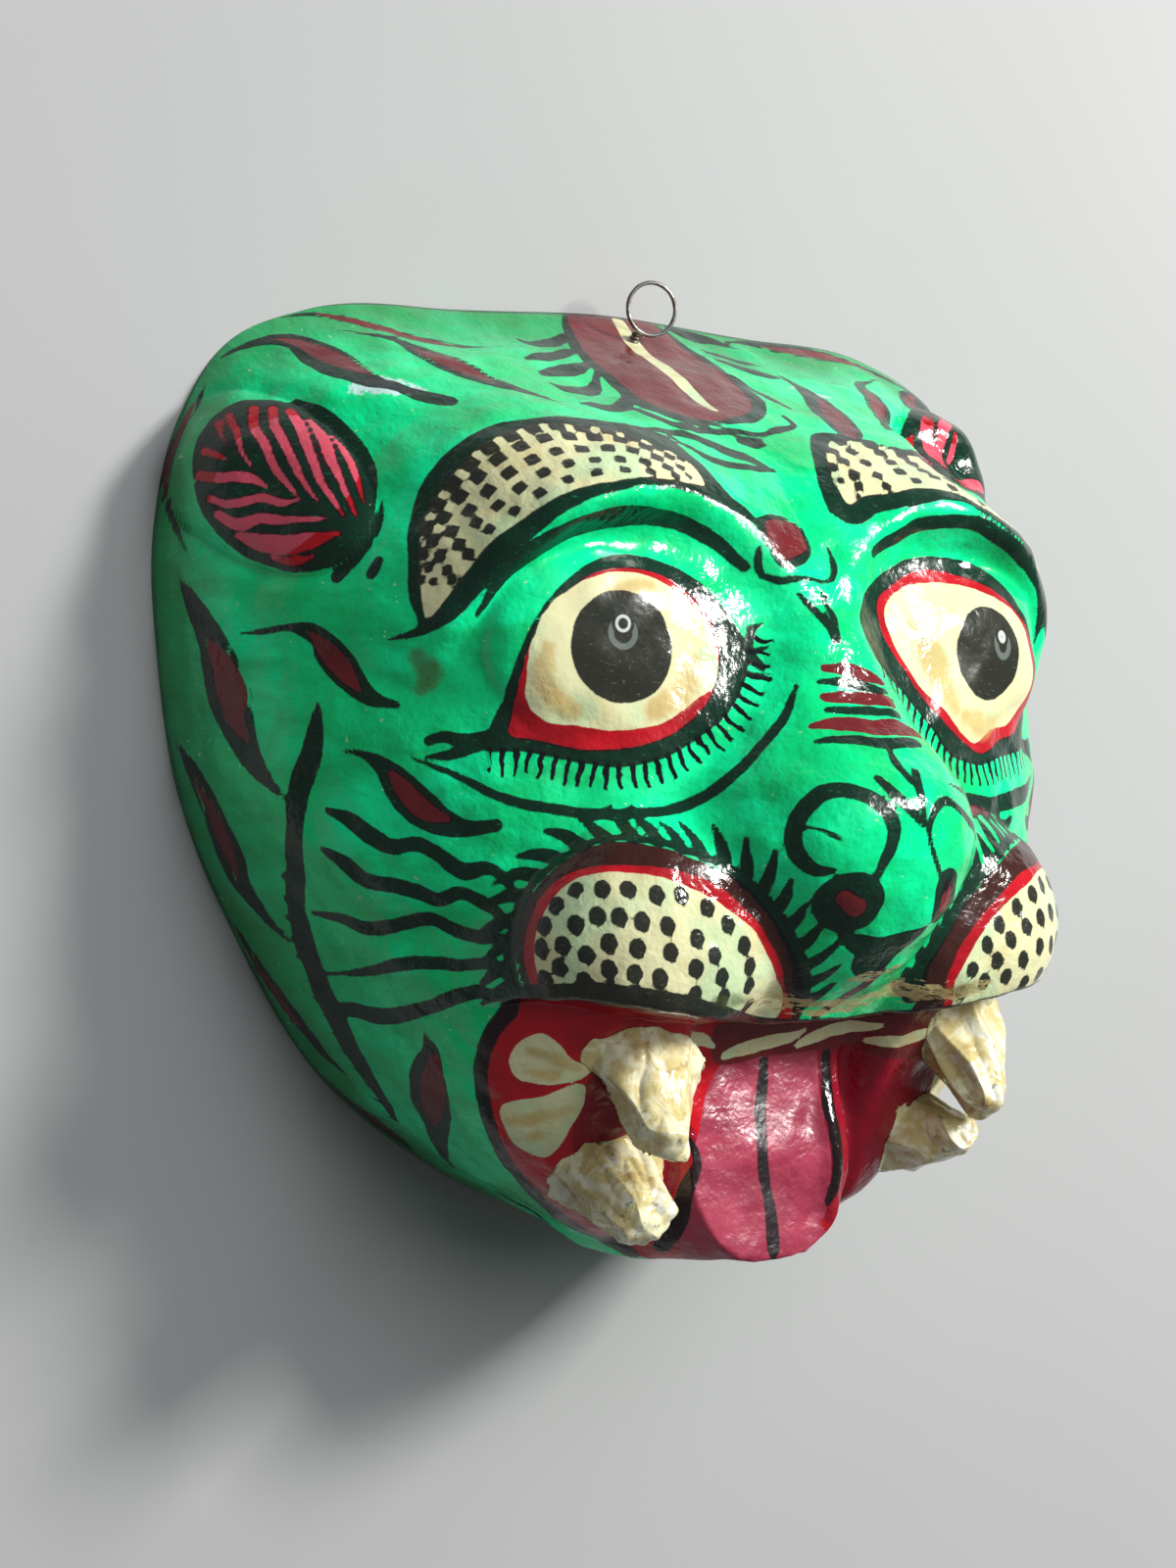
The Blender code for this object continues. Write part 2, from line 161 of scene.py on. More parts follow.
def relief(x, y):
    """Height of the outer skin over the rim's plane: a rounded dome, plus a brow roll, and
    the higher of nose, eyeballs and muzzle pads, then the jaw below the lip line."""
    ax = np.abs(x)
    s = np.clip(np.hypot(x, y - CENTRE_Y) / rim_radius(x, y), 0, 1)
    rows = [-106, -85, -66, -42, 0, 60, 130]
    high = hermite(rows, [80, 78, 79, 91, 94, CREST, CREST], y)
    power = hermite(rows, [16, 15, 12, 6, 3.4, 2, 2], y)
    root = hermite(rows, [.5, .5, .5, .52, .58, .63, .63], y)
    root = root + 0.12 * step(40, 95, ax) * step(30, 90, y)
    z = high * np.clip(1 - s**power, 0, None)**root
    bevel = CREST * hermite([-.1, 0, .3, .52, .70, .76, .813, .88, .932, 1, 1.1],
                            [1, 1, .97, .83, .655, .57, .445, .29, .14, 0, -.2], s)
    up = (y - CENTRE_Y) / np.maximum(np.hypot(x, y - CENTRE_Y), 1e-6)
    w = step(cos(radians(60)), cos(radians(38)), up) * step(0.15, 0.5, s)
    z = z * (1 - w) + np.maximum(bevel, 0) * w
    jaw = z.copy()
    d, t, side = line_distance(ax, y, BROW_LINE)
    roll = hermite([0, .2, .45, .7, .88, 1], [6, 13, 18, 17, 9, 0], t)
    z = z + roll * np.exp(-(d / np.where(side > 0, 19.0, 9.5))**2)
    ridge = hermite([-50, -42, -34, -21, -5, 11, 26, 54, 73, 95, 130],
                    [90, 98, 107, 119, 125, 124, 109, 91, 70, 40, -30], y)
    half = hermite([-50, -21, 0, 12, 30, 55, 75, 130], [22, 26, 35, 32, 25, 18, 15, 12], y)
    z = blend_max(z, ridge - NOSE_FALL * np.minimum((ax / half)**2, 9)**1.4, 9)
    z = blend_max(z, EYE_GROUND + cap(oval(ax, y, *EYE, 8), EYE_HIGH, EYE_FALL), 4)
    z = blend_max(z, PAD_GROUND + cap(oval(ax, y, *PAD, -3)**1.25, PAD_HIGH, PAD_FALL), 5)
    z = z - TEMPLE_DEEP * np.exp(-oval(x, y, *TEMPLE)**1.3)
    z = z + np.where(x < 0, EAR_UP, RIGHT_UP) * ear_boss(x, y)
    lip = lip_line(ax)
    hollow = MOUTH_DEEP * step(36, 22, ax) * step(-80, -55, y)
    groove = GROOVE_DEEP * np.exp(-((ax - 28) / 2.5)**2) * step(-48, -56, y)
    fold = FOLD_HIGH * np.exp(-((x - 19) / 3)**2) * step(-55, -70, y)
    tongue = hermite([-112, -103, -80, -55, -40], [80, 80, 77.5, 74, 72], y)
    edge = hermite([-112, -106, -98, -86, -60], [0, 5, 15, 22, 24], y)
    tongue = tongue - 2.2 * np.clip(ax - edge, 0, None)
    front = blend_max(jaw - hollow - groove + fold, tongue + fold, 3)
    inside = step(0, 3, lip - y)
    z = z * (1 - inside) + front * inside
    return np.minimum(z, EDGE_HIGH * np.clip(1 - s**24, 0, None)**0.5)


def bore(x, y):
    """Height of the inner skin: everywhere a ball of the wall's radius under the outer skin."""
    z = relief(x, y) - WALL
    for share, count in ((0.6, 8), (0.95, 12)):
        r = share * WALL
        drop = (WALL**2 - r * r)**0.5
        for k in range(count):
            a = 2 * pi * k / count
            z = np.minimum(z, relief(x + r * cos(a), y + r * sin(a)) - drop)
    return np.maximum(z, 0)


def overhang(x, y, z):
    """The chin wall swells a little past the rim, and the ears stand out sideways."""
    ax = np.abs(x)
    g = (0.03 + 0.05 * step(8, 32, ax) * step(100, 70, ax)) * step(-40, -90, y)
    g = g * np.exp(-((z - 62) / 32)**2)
    out = np.where(x < 0, EAR_OUT, RIGHT_OUT) * ear_boss(x, y) * step(0, 10, z)
    return np.stack([x * (1 + g) + np.sign(x) * out, CENTRE_Y + (y - CENTRE_Y) * (1 + g), z], -1)


def closeness(p):
    """How tightly the rows lie: closer round the eyes, nose, muzzle, mouth and ears."""
    ax, y, z = np.abs(p[..., 0]), p[..., 1], p[..., 2]
    face = step(112, 88, ax) * step(104, 84, y) * step(30, 60, z)
    ear = step(92, 102, ax) * step(45, 58, y) * step(112, 102, y) * step(4, 14, z)
    return 1 + 0.8 * np.maximum(face, ear)


def skin_grid(count, height, inset, coarse):
    """Square grid wrapped over the face: a square pressed into the rim's outline, its rows and
    columns then slid along themselves until they are evenly spread on the surface."""
    a = np.linspace(-1, 1, coarse)
    a, b = np.meshgrid(a, a)
    u, v = a * np.sqrt(1 - b * b / 2), b * np.sqrt(1 - a * a / 2)
    rho = np.clip(np.hypot(u, v), 0, 1)
    k = np.where(rho > 1e-9, np.sin(rho * pi / 2) / np.maximum(rho, 1e-9), pi / 2)
    u, v = u * k, v * k
    r = rim_radius(u, v + CENTRE_Y) - inset
    x, y = u * r, CENTRE_Y + v * r
    even = np.arange(coarse)
    for _ in range(EVENING_ROUNDS):
        p = overhang(x, y, height(x, y))
        tight = closeness(p)
        run = np.sqrt((np.diff(p, axis=1)**2).sum(-1)) + 1e-6
        run = run * (tight[:, 1:] + tight[:, :-1]) / 2
        run = np.concatenate([np.zeros((coarse, 1)), np.cumsum(run, 1)], 1)
        slid = np.array([np.interp(even * row[-1] / even[-1], row, even) for row in run])
        for _ in range(SMOOTHING_ROUNDS):
            slid[1:-1] = (slid[:-2] + 2 * slid[1:-1] + slid[2:]) / 4
        x = np.array([np.interp(at, even, row) for at, row in zip(slid, x)]).T.copy()
        y = np.array([np.interp(at, even, row) for at, row in zip(slid, y)]).T.copy()
    at = np.linspace(0, coarse - 1, count)
    for _ in range(2):
        x = np.array([np.interp(at, even, row) for row in x]).T.copy()
        y = np.array([np.interp(at, even, row) for row in y]).T.copy()
    loop = np.zeros((count, count), bool)
    loop[0], loop[-1], loop[:, 0], loop[:, -1] = True, True, True, True
    rho = np.hypot(x, y - CENTRE_Y)
    r = rim_radius(x, y) - inset
    x = np.where(loop, x * r / rho, x)
    y = np.where(loop, CENTRE_Y + (y - CENTRE_Y) * r / rho, y)
    return overhang(x, y, np.where(loop, 0, height(x, y)))


def grid_normals(p):
    """Unit normals of a grid of points from its central differences."""
    n = np.cross(np.gradient(p, axis=1), np.gradient(p, axis=0))
    return n / np.maximum(np.linalg.norm(n, axis=-1, keepdims=True), 1e-9)


def lumps(p, wave, seed, count=14):
    """Soft unevenness, about -1 to 1: a sum of count sine waves in random directions."""
    draw = np.random.default_rng(seed)
    total = np.zeros(p.shape[:-1])
    for _ in range(count):
        way = draw.normal(size=3)
        way *= 2 * pi / (wave * draw.uniform(0.7, 1.5)) / np.linalg.norm(way)
        total += np.sin(p @ way + draw.uniform(0, 2 * pi))
    return total / (0.7 * count**0.5 * 1.6)


def edge_loop(count, first):
    """Indices round the edge of a grid, anticlockwise as seen from the front."""
    g = first + np.arange(count * count).reshape(count, count)
    return np.concatenate([g[0, :-1], g[:-1, -1], g[-1, :0:-1], g[:0:-1, 0]])


def grid_faces(count, first, inward):
    """Triangles of a grid of count by count points whose first index is first."""
    g = first + np.arange(count * count).reshape(count, count)
    a, b, c, d = (k.ravel() for k in (g[:-1, :-1], g[:-1, 1:], g[1:, 1:], g[1:, :-1]))
    tris = np.concatenate([np.stack([a, b, c], -1), np.stack([a, c, d], -1)])
    return tris[:, ::-1] if inward else tris


def rim_strip(points, outer, inner):
    """Flat face of the rim: zips two loops of different counts by their points' directions."""
    turn = [np.unwrap(np.arctan2(points[k, 1] - CENTRE_Y, points[k, 0])) for k in (outer, inner)]
    ta, tb = turn[0], turn[1] + 2 * pi * round((turn[0][0] - turn[1][0]) / (2 * pi))
    ta, tb = np.r_[ta, ta[0] + 2 * pi], np.r_[tb, tb[0] + 2 * pi]
    i = j = 0
    faces = []
    while i < len(outer) or j < len(inner):
        a, b = outer[i % len(outer)], inner[j % len(inner)]
        if j >= len(inner) or (i < len(outer) and ta[i + 1] <= tb[j + 1]):
            faces.append((outer[(i + 1) % len(outer)], a, b))
            i += 1
        else:
            faces.append((a, b, inner[(j + 1) % len(inner)]))
            j += 1
    return faces


def add_piece(name, points, faces, node, values=None):
    """Puts points (mm) and faces into a closed mesh that stands for a CAD node."""
    mesh = bpy.data.meshes.new(name)
    place = (np.asarray(points, float) - [0, MIDDLE_Y, 0]) * 0.001
    mesh.from_pydata(place.tolist(), [], np.asarray(faces).tolist())
    mesh.shade_smooth()
    for key, value in (values or {}).items():
        mesh.attributes.new(key, "FLOAT", "POINT").data.foreach_set("value", value.astype(np.float32))
    item = bpy.data.objects.new(name, mesh)
    bpy.context.scene.collection.objects.link(item)
    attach(item, "root")
    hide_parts(node)
    return item


outer = skin_grid(OUTSIDE_ROWS, relief, 0.0, FIRST_OUTSIDE)
inner = skin_grid(INSIDE_ROWS, bore, WALL, FIRST_INSIDE)
uneven = 0.45 * lumps(outer, 26, 3) + 0.22 * lumps(outer, 10, 5)
uneven *= step(0, 9, outer[..., 2])
outer = outer + grid_normals(outer) * uneven[..., None]
rough = np.abs(0.5 * lumps(inner, 14, 8)) * step(2, 12, inner[..., 2])
inner = inner - grid_normals(inner) * rough[..., None]
skin = outer.reshape(-1, 3)
shell_points = np.concatenate([skin, inner.reshape(-1, 3)])
outside_faces = grid_faces(OUTSIDE_ROWS, 0, False)
shell_faces = np.concatenate([
    outside_faces, grid_faces(INSIDE_ROWS, len(skin), True),
    rim_strip(shell_points, edge_loop(OUTSIDE_ROWS, 0), edge_loop(INSIDE_ROWS, len(skin)))])
outer_tree = BVHTree.FromPolygons(skin.tolist(), outside_faces.tolist())

# ================================================================ mask shell: painted figures
# Enamel figures brushed over the green by hand, then varnished.  A figure is a few stations
# (x, y, z, half width) that are settled onto the skin; those of the viewer's left half are
# mirrored where both halves match.
FAR = 6.0                   # value of a colour where none of it is near
UNDERLAP = 0.4              # how far a colour runs on under the edge of the next
COLOURS = ("red", "shaded_red", "wine", "brown", "pink", "cream", "rose", "black", "chalk",
           "smear", "olive", "ochre")
# Each colour is kept for every point of the skin as the distance from its painted edge,
# negative inside it, so that the edges stay crisp.
paint = {colour: np.full(len(skin), FAR) for colour in COLOURS}


def settle(points):
    """Nearest points of the skin, and the skin's normals there."""
    found = [outer_tree.find_nearest(p) for p in points.tolist()]
    return np.array([f[0] for f in found]), np.array([f[1] for f in found])


def trail(stations, closed=False, gap=0.9):
    """Settled points every gap along a smooth curve through the stations, the skin's normals
    there, and the half widths where the stations have one."""
    stations = np.asarray(stations, float)
    ends = stations[np.r_[0:len(stations), 0]] if closed else stations
    length = np.sqrt(((ends[1:, :3] - ends[:-1, :3])**2).sum(1)).sum()
    run = smooth_run(stations, max(int(length / gap), 5), closed)
    place, out = settle(run[:, :3])
    return place, out, run[:, 3] if run.shape[1] > 3 else None


def nearest(place, reach):
    """For the skin's points within reach of a path: their indices, their offsets from it, the
    nearest stretch of it and how far along that stretch they lie."""
    low, high = place.min(0) - reach, place.max(0) + reach
    some = np.flatnonzero(np.all((skin > low) & (skin < high), axis=1))
    start, way = place[:-1], np.diff(place, axis=0)
    offset = skin[some][:, None, :] - start[None]
    along = np.clip((offset * way).sum(-1) / np.maximum((way * way).sum(-1), 1e-9), 0, 1)
    offset = offset - along[..., None] * way
    pick = (offset**2).sum(-1).argmin(1)
    row = np.arange(len(some))
    return some, offset[row, pick], pick, along[row, pick]


def stroke(stations):
    """Brush stroke: (d^2 - w^2) / 2w for a point at distance d from a line of half width w."""
    place, _, wide = trail(stations)
    wide = np.maximum(wide, 0.05)
    some, offset, pick, along = nearest(place, wide.max() + 3)
    w = wide[pick] * (1 - along) + wide[pick + 1] * along
    return some, ((offset**2).sum(-1) - w * w) / (2 * np.maximum(w, 0.3))


def fill(stations, reach=9.0):
    """Filled shape: distance to its closed outline, negative on the side of its middle."""
    place, out, _ = trail(stations, closed=True)
    place = np.concatenate([place, place[:1]])
    way = np.diff(place, axis=0)
    some, offset, pick, along = nearest(place, reach)
    unit = way / np.maximum(np.linalg.norm(way, axis=1, keepdims=True), 1e-9)
    ahead = np.where(along >= 1, (pick + 1) % len(way), pick)
    behind = np.where(along <= 0, pick - 1, pick)
    side = (np.cross(unit[ahead] + unit[behind], offset) * out[pick % len(out)]).sum(-1)
    middle = place.mean(0)
    turn = np.sign((np.cross(way, middle - place[:-1]) * out).sum())
    return some, -np.sign(side * turn) * np.sqrt((offset**2).sum(-1))


def lay(colour, shape, lift=()):
    """Adds a shape to a colour, and takes it out of the colours in lift, under whose edges it
    runs on a little."""
    some, value = shape
    paint[colour][some] = np.minimum(paint[colour][some], value - (UNDERLAP if lift else 0))
    for other in lift:
        paint[other][some] = np.maximum(paint[other][some], -value)


def flip(stations):
    """The same stations on the viewer's other side."""
    stations = np.asarray(stations, float).copy()
    stations[:, 0] *= -1
    return stations


def both(make, colour, stations, lift=()):
    """Lays a shape on the viewer's left side and its mirror image on the right."""
    lay(colour, make(stations), lift)
    lay(colour, make(flip(stations)), lift)


def block(middle, way, along, across):
    """Square touch of the brush: the larger of a point's distances from its ends and its
    sides, which lie along and across from the middle."""
    place, out = settle(np.array([middle]))
    way = np.asarray(way, float)
    way = way / np.linalg.norm(way)
    some = np.flatnonzero(np.abs(skin - place[0]).max(1) < FAR)
    offset = skin[some] - place[0]
    side = np.cross(way, out[0])
    return some, np.maximum(np.abs(offset @ way) - along, np.abs(offset @ side) - across)


def leaf(stations, core):
    """Pointed black leaf with a wine-red core, on both sides."""
    both(stroke, "black", stations)
    both(stroke, "wine", core, ("black",))


# Leaves that trail round the edge of the face, from the top of the head to the chin.
leaf([(-117, 110, 2, .4), (-112, 113, 4, 1), (-106, 115, 6, 2), (-101, 115, 9, 3.6), (-98, 112, 15, 5.6),
      (-95, 108, 23, 5.6), (-92, 105, 30, 3), (-87, 103, 36, 2), (-84, 102, 41, 2.6), (-80, 101, 45, 2.3)],
     [(-105, 115, 6, .4), (-101, 115, 9, 1.5), (-97, 112, 15, 2.8), (-94, 109, 22, 2.6),
      (-91, 107, 28, .6)])
leaf([(-91, 119, 7, .4), (-83, 118, 12, .8), (-76, 117, 16, 1.6), (-72, 113, 25, 4), (-69, 110, 33, 4.8),
      (-64, 107, 42, 3), (-58, 104, 48, 1.8), (-53, 103, 53, .6)],
     [(-74, 115, 20, .6), (-71, 112, 28, 2.6), (-68, 110, 34, 2.6), (-64, 107, 41, .9)])
leaf([(-122, 104, 3, .4), (-126, 97, 4, 1.4), (-130, 88, 3, 2.6), (-132, 79, 2, 2.6), (-132, 73, 5, 1.5),
      (-131, 66, 9, 1), (-130, 61, 12, .4)],
     [(-125, 99, 3, .4), (-129, 91, 3, 1.7), (-132, 80, 2, 1.5), (-132, 75, 4, .4)])
leaf([(-132, 57, 9, .6), (-130, 50, 14, 2.8), (-127, 41, 19, 4.4), (-126, 34, 21, 6), (-125, 27, 23, 6.2),
      (-123, 20, 25, 4.6), (-121, 14, 28, 3), (-119, 9, 33, 1.5), (-117, 6, 36, .6)],
     [(-128, 43, 18, .8), (-126, 36, 21, 3.4), (-125, 30, 23, 4.2), (-124, 24, 24, 2.8),
      (-122, 18, 27, .6)])
leaf([(-125, 44, 25, .3), (-121, 45, 32, .9), (-118, 46, 38, 1.1), (-115, 45, 42, 2.4), (-112, 40, 46, 4.1),
      (-109, 34, 51, 3.2), (-106, 30, 55, 1.9), (-102, 29, 59, 1)],
     [(-115, 45, 42, .7), (-113, 41, 45, 2.3), (-110, 36, 49, 2.1), (-108, 32, 52, .7)])
leaf([(-128, 18, 4, .7), (-126, 11, 9, 2.8), (-122, 1, 12, 4.4), (-118, -9, 13, 5), (-114, -17, 14, 3.3),
      (-110, -24, 17, 1.9), (-106, -29, 23, .5)],
     [(-125, 9, 9, .8), (-122, 0, 12, 2.2), (-118, -8, 13, 2.2), (-115, -14, 13, .8)])
leaf([(-112, -23, 1, .3), (-107, -30, 3, 1.4), (-101, -40, 6, 2.8), (-95, -49, 9, 3), (-89, -58, 11, 2),
      (-84, -63, 16, .5)],
     [(-105, -33, 3, .6), (-100, -42, 6, 1.5), (-94, -51, 9, 1.2)])
leaf([(-82, -65, 2, .4), (-76, -71, 4, 1.8), (-68, -77, 5, 3.2), (-61, -82, 5, 2.4), (-54, -86, 4, .5)],
     [(-75, -71, 4, .6), (-68, -77, 5, 1.8), (-60, -82, 5, .6)])
leaf([(-88, -49, 53, .5), (-86, -53, 53, 2.4), (-84, -58, 50, 4.6), (-81, -64, 47, 6), (-77, -70, 42, 5.6),
      (-71, -76, 36, 3.6), (-62, -82, 28, 2), (-52, -88, 17, .7)],
     [(-84, -55, 53, 1.6), (-81, -62, 49, 3.6), (-78, -68, 44, 3.1), (-74, -73, 39, 1)])
leaf([(-110, 18, 49, .5), (-107, 17, 54, 1.2), (-104, 14, 58, 2.6), (-102, 10, 61, 4), (-98, 5, 65, 4.3),
      (-94, 2, 69, 3.2), (-90, 1, 72, 2), (-85, 2, 76, 1.6)],
     [(-103, 13, 59, 1), (-101, 9, 62, 2.2), (-98, 5, 65, 2.3), (-94, 3, 69, .9)])
both(stroke, "black", [(-48, -93, 18, .2), (-43, -96, 30, .6), (-37, -100, 39, .2)])
lay("black", stroke([(-100, 122, 1, .3), (-92, 123, 2, .9), (-82, 122, 7, 1.9), (-72, 119, 13, 2.2),
                     (-62, 118, 17, 1.9), (-49, 118, 19, .5)]))
lay("wine", stroke([(-90, 123, 2, .5), (-80, 121, 8, 1.5), (-71, 119, 14, 1.6), (-58, 117, 19, .6)]),
    ("black",))
lay("black", stroke([(39, 126, 3, .6), (47, 126, 2, 1.5), (57, 126, 3, 2.6), (66, 126, 4, 3.2),
                     (76, 125, 4, 2.6), (88, 123, 4, 1.4), (98, 120, 4, 1.2), (108, 115, 4, .5)]))
lay("wine", stroke([(52, 126, 3, .5), (62, 126, 4, 1.6), (74, 125, 4, 1.7), (88, 123, 4, .5)]), ("black",))
lay("black", stroke([(44, 117, 20, .8), (44, 113, 29, 2.6), (42, 109, 38, 4.4), (39, 105, 47, 5.6),
                     (36, 101, 56, 4.6), (33, 97, 64, 1.4)]))
lay("wine", stroke([(44, 110, 36, .8), (41, 106, 44, 2.8), (38, 103, 52, 3.2), (34, 98, 62, 1)]),
    ("black",))

# Ears: black discs with a feathered leaf, its pink cells tipped with red.  The left ear's
# cells (p, q, half width) are set out on the disc's own plane, p across it and q up it.
EAR_MIDDLE = np.array([-116.0, 79.0, 31.0])
EAR_ACROSS = np.array([28.0, -4.0, 34.0]) / 44.2
EAR_RISE = np.array([7.0, 44.0, -16.0]) / 47.3
EAR_REACH, EAR_TALL = 22.5, 24.0
CELL_SPREAD, CELL_WIDE = 0.93, 0.896
PINK_SHARE = 0.76           # share of the disc within which the cells are pink


def on_ear(p, q, wide=0.0):
    """Station on the ear's disc."""
    return (*(EAR_MIDDLE + CELL_SPREAD * (p * EAR_ACROSS + q * EAR_RISE)), CELL_WIDE * wide)


EAR_OUTLINE = [(-24.5, 0), (-22.5, 10), (-18, 18), (-10, 24.5), (0, 27), (10, 25), (18, 19), (23.5, 10),
               (23.5, -2), (19, -13), (11, -20.5), (0, -24.5), (-11, -23.5), (-19, -17), (-23.5, -9)]
lay("black", fill([on_ear(p, q)[:3] for p, q in EAR_OUTLINE]))
CELLS = [[(-17, 14, 1.4), (-16, 11, .9), (-14, 7, .3)],
         [(-14.5, 17, 1.2), (-12.5, 12, 1.1), (-10.5, 7, .9), (-8, 3, .4)],
         [(-8, 20, 1.4), (-7.5, 13, 1.4), (-4.5, 8, 1.3), (-.5, 2, 1.1), (4, -4, .4)],
         [(-3, 21, 1.4), (-2, 14, 1.4), (.5, 9, 1.3), (4, 3, 1.1), (9, -5, .4)],
         [(2, 21.5, 1.5), (4, 16, 1.6), (6.5, 8, 1.4), (9.5, 1, 1.1), (15, -8, .4)],
         [(7.5, 20.5, 1), (10, 14, 1.7), (12, 7, 1.5), (14.5, 1, 1), (18, -7, .4)],
         [(14, 17, .6), (16, 11.5, 1.2), (17.5, 6, 1.1), (19, 1, .7), (20, -3, .3)],
         [(-20, 6, 1.2), (-17, 5, 1), (-14, 4, .4)],
         [(-22, 0, 1.4), (-16, 0, 1.3), (-8, 0, 1.3), (-4, -2, .5)],
         [(-20, -6, 1), (-14, -7, 1.1), (-5, -5, 1.2), (1, -6, .9), (5, -5, .4)],
         [(-18, -10, 1.2), (-13, -12, 1.6), (-5, -10, 1.4), (2, -10, 1), (11, -9, .4)],
         [(-13, -15, 1), (-7, -16, 2.3), (0, -16, 2.5), (7, -14, 2.1), (14, -12, .5)],
         [(-5, -20, .5), (2, -20, 1.2), (7, -18, .5)]]
for cell in CELLS:
    lay("pink", stroke([on_ear(*k) for k in cell]), ("black",))
from_ear = skin - EAR_MIDDLE
in_ear = np.hypot(from_ear @ EAR_ACROSS / EAR_REACH, from_ear @ EAR_RISE / EAR_TALL)
on_disc = (np.abs(from_ear).max(1) < 32) & (in_ear < 1.2)
outward = np.where(on_disc, (PINK_SHARE - in_ear) * EAR_REACH, FAR)
paint["red"] = np.minimum(paint["red"], np.maximum(paint["pink"] - 0.3, outward - 0.4))
paint["pink"] = np.maximum(paint["pink"], -outward)
lay("black", fill([(108, 113, 6), (97, 112, 16), (87, 110, 24), (82, 107, 28), (79, 103, 29),
                   (77, 98, 31), (77, 92, 33), (82, 86, 36), (92, 83, 38), (102, 84, 34),
                   (109, 89, 23), (113, 97, 9), (112, 106, 5)]))
RIGHT_CELLS = [[(82, 103, 31, .8), (80, 99, 31, 1.6), (81, 94, 33, 1.5), (83, 90, 34, .9)],
               [(92, 109, 26, 1), (89, 107, 29, 1.9), (87, 104, 31, 2.1), (87, 101, 32, 2.1),
                (86, 96, 33, 1.8), (88, 92, 34, 1)],
               [(97, 109, 24, .6), (98, 108, 26, 1.4), (93, 105, 31, 1.9), (92, 102, 32, 1.7),
                (90, 97, 34, 1.8), (90, 92, 35, .9)],
               [(98, 105, 31, .5), (97, 102, 31, 1), (96, 98, 31, 1.3), (94, 96, 32, .7)],
               [(90, 90, 37, .8), (95, 90, 37, 1.8), (101, 91, 35, 2.3), (104, 90, 34, 2.3)]]
for cell in RIGHT_CELLS:
    lay("pink", stroke(cell), ("black",))
    lay("red", stroke(cell[:2]), ("black", "pink"))
lay("black", stroke([(-101, 76, 49, .4), (-103, 71, 51, .9), (-106, 66, 51, 1.2), (-111, 58, 46, 1.7)]))
lay("black", stroke([(-106, 59, 53, 1.5), (-105, 62, 54, 1.4)]))

# Whiskers: wavy strokes across the cheek that spring from one long curved stroke with dry
# bristle marks along its outer side.
WHISKERS = [
    [(-112, 4, 45, .7), (-109, 2, 50, 1.9), (-105, -2, 55, 2.2), (-102, -4, 59, 2), (-98, -3, 63, 1.9),
     (-95, -5, 67, 1.8), (-90, -9, 71, 2.1), (-86, -8, 75, 1.6), (-82, -13, 80, .9)],
    [(-111, -5, 42, .5), (-108, -8, 47, 1.9), (-104, -12, 51, 2.2), (-100, -13, 57, 2), (-97, -14, 61, 2.1),
     (-93, -16, 65, 1.9), (-90, -14, 69, 1.7), (-86, -16, 73, 1.7), (-83, -20, 80, .7)],
    [(-107, -21, 34, .7), (-104, -22, 42, 1.5), (-101, -24, 47, 1.9), (-98, -23, 54, 1.9),
     (-93, -21, 63, 1.8), (-89, -23, 67, 1.7), (-87, -24, 72, 1.7), (-83, -24, 81, 1)],
    [(-100, -36, 31, .6), (-97, -34, 45, 1.4), (-95, -32, 53, 1.8), (-91, -31, 60, 1.7),
     (-87, -31, 67, 1.5), (-84, -30, 75, 1.4), (-82, -31, 80, .8)],
    [(-96, -46, 24, 1.2), (-95, -45, 32, 2.3), (-93, -46, 42, 2.6), (-91, -44, 51, 2.2),
     (-89, -42, 57, 1.9), (-87, -39, 64, 2), (-84, -37, 69, 1.8), (-82, -38, 75, 1.7), (-80, -35, 82, .6)]]
for whisker in WHISKERS:
    both(stroke, "black", whisker)
CHEEK_STROKE = [(-113, 30, 44, .4), (-114, 25, 44, 1.7), (-115, 17, 43, 2.9), (-115, 8, 39, 3),
                (-115, -1, 37, 2.5), (-113, -10, 34, 2.8), (-109, -19, 30, 3.1), (-105, -28, 28, 3.5),
                (-100, -39, 26, 3.8), (-94, -49, 26, 3.9), (-87, -58, 25, 3.6), (-80, -67, 24, 2.6),
                (-72, -74, 21, 1)]
both(stroke, "black", CHEEK_STROKE)


def fringe(colour, stations, count, length, wide, lean):
    """Row of tapering hairs on the left of a line as it runs, leaning along it."""
    place, out, _ = trail(np.asarray(stations, float)[:, :3], gap=0.5)
    at = np.linspace(0, len(place) - 2, count).astype(int)
    way = place[np.minimum(at + 3, len(place) - 1)] - place[np.maximum(at - 3, 0)]
    way /= np.linalg.norm(way, axis=1, keepdims=True)
    off = np.cross(out[at], way)
    draw = np.random.default_rng(count)
    for k in range(count):
        reach = length * draw.uniform(0.75, 1.15)
        tip = (off[k] + lean * way[k]) * reach
        middle = (off[k] + 0.8 * lean * way[k]) * reach * 0.5
        hair = [(*place[at[k]], wide), (*(place[at[k]] + middle), wide * 0.85),
                (*(place[at[k]] + tip), wide * 0.4)]
        lay(colour, stroke(hair))


BRISTLES, BRISTLE_LONG, BRISTLE_WIDE = 15, 6.5, 0.5
fringe("black", CHEEK_STROKE[:4:-1], BRISTLES, BRISTLE_LONG, BRISTLE_WIDE, 0.6)
fringe("black", flip(CHEEK_STROKE[5:]), BRISTLES, BRISTLE_LONG, BRISTLE_WIDE, -0.6)


# Eyes: black rim, red ring, cream ball with a black pupil, and broad lines over and under them.
def eye(rim, ring, ball, pupil, reach):
    """Painted eye: closed outlines of its rim, ring and ball, and its round pupil."""
    lay("black", fill(rim))
    lay("red", fill(ring), ("black",))
    lay("cream", fill(ball), ("black",))
    lay("black", stroke([(*pupil, reach), (pupil[0] + 0.5, *pupil[1:], reach)]))


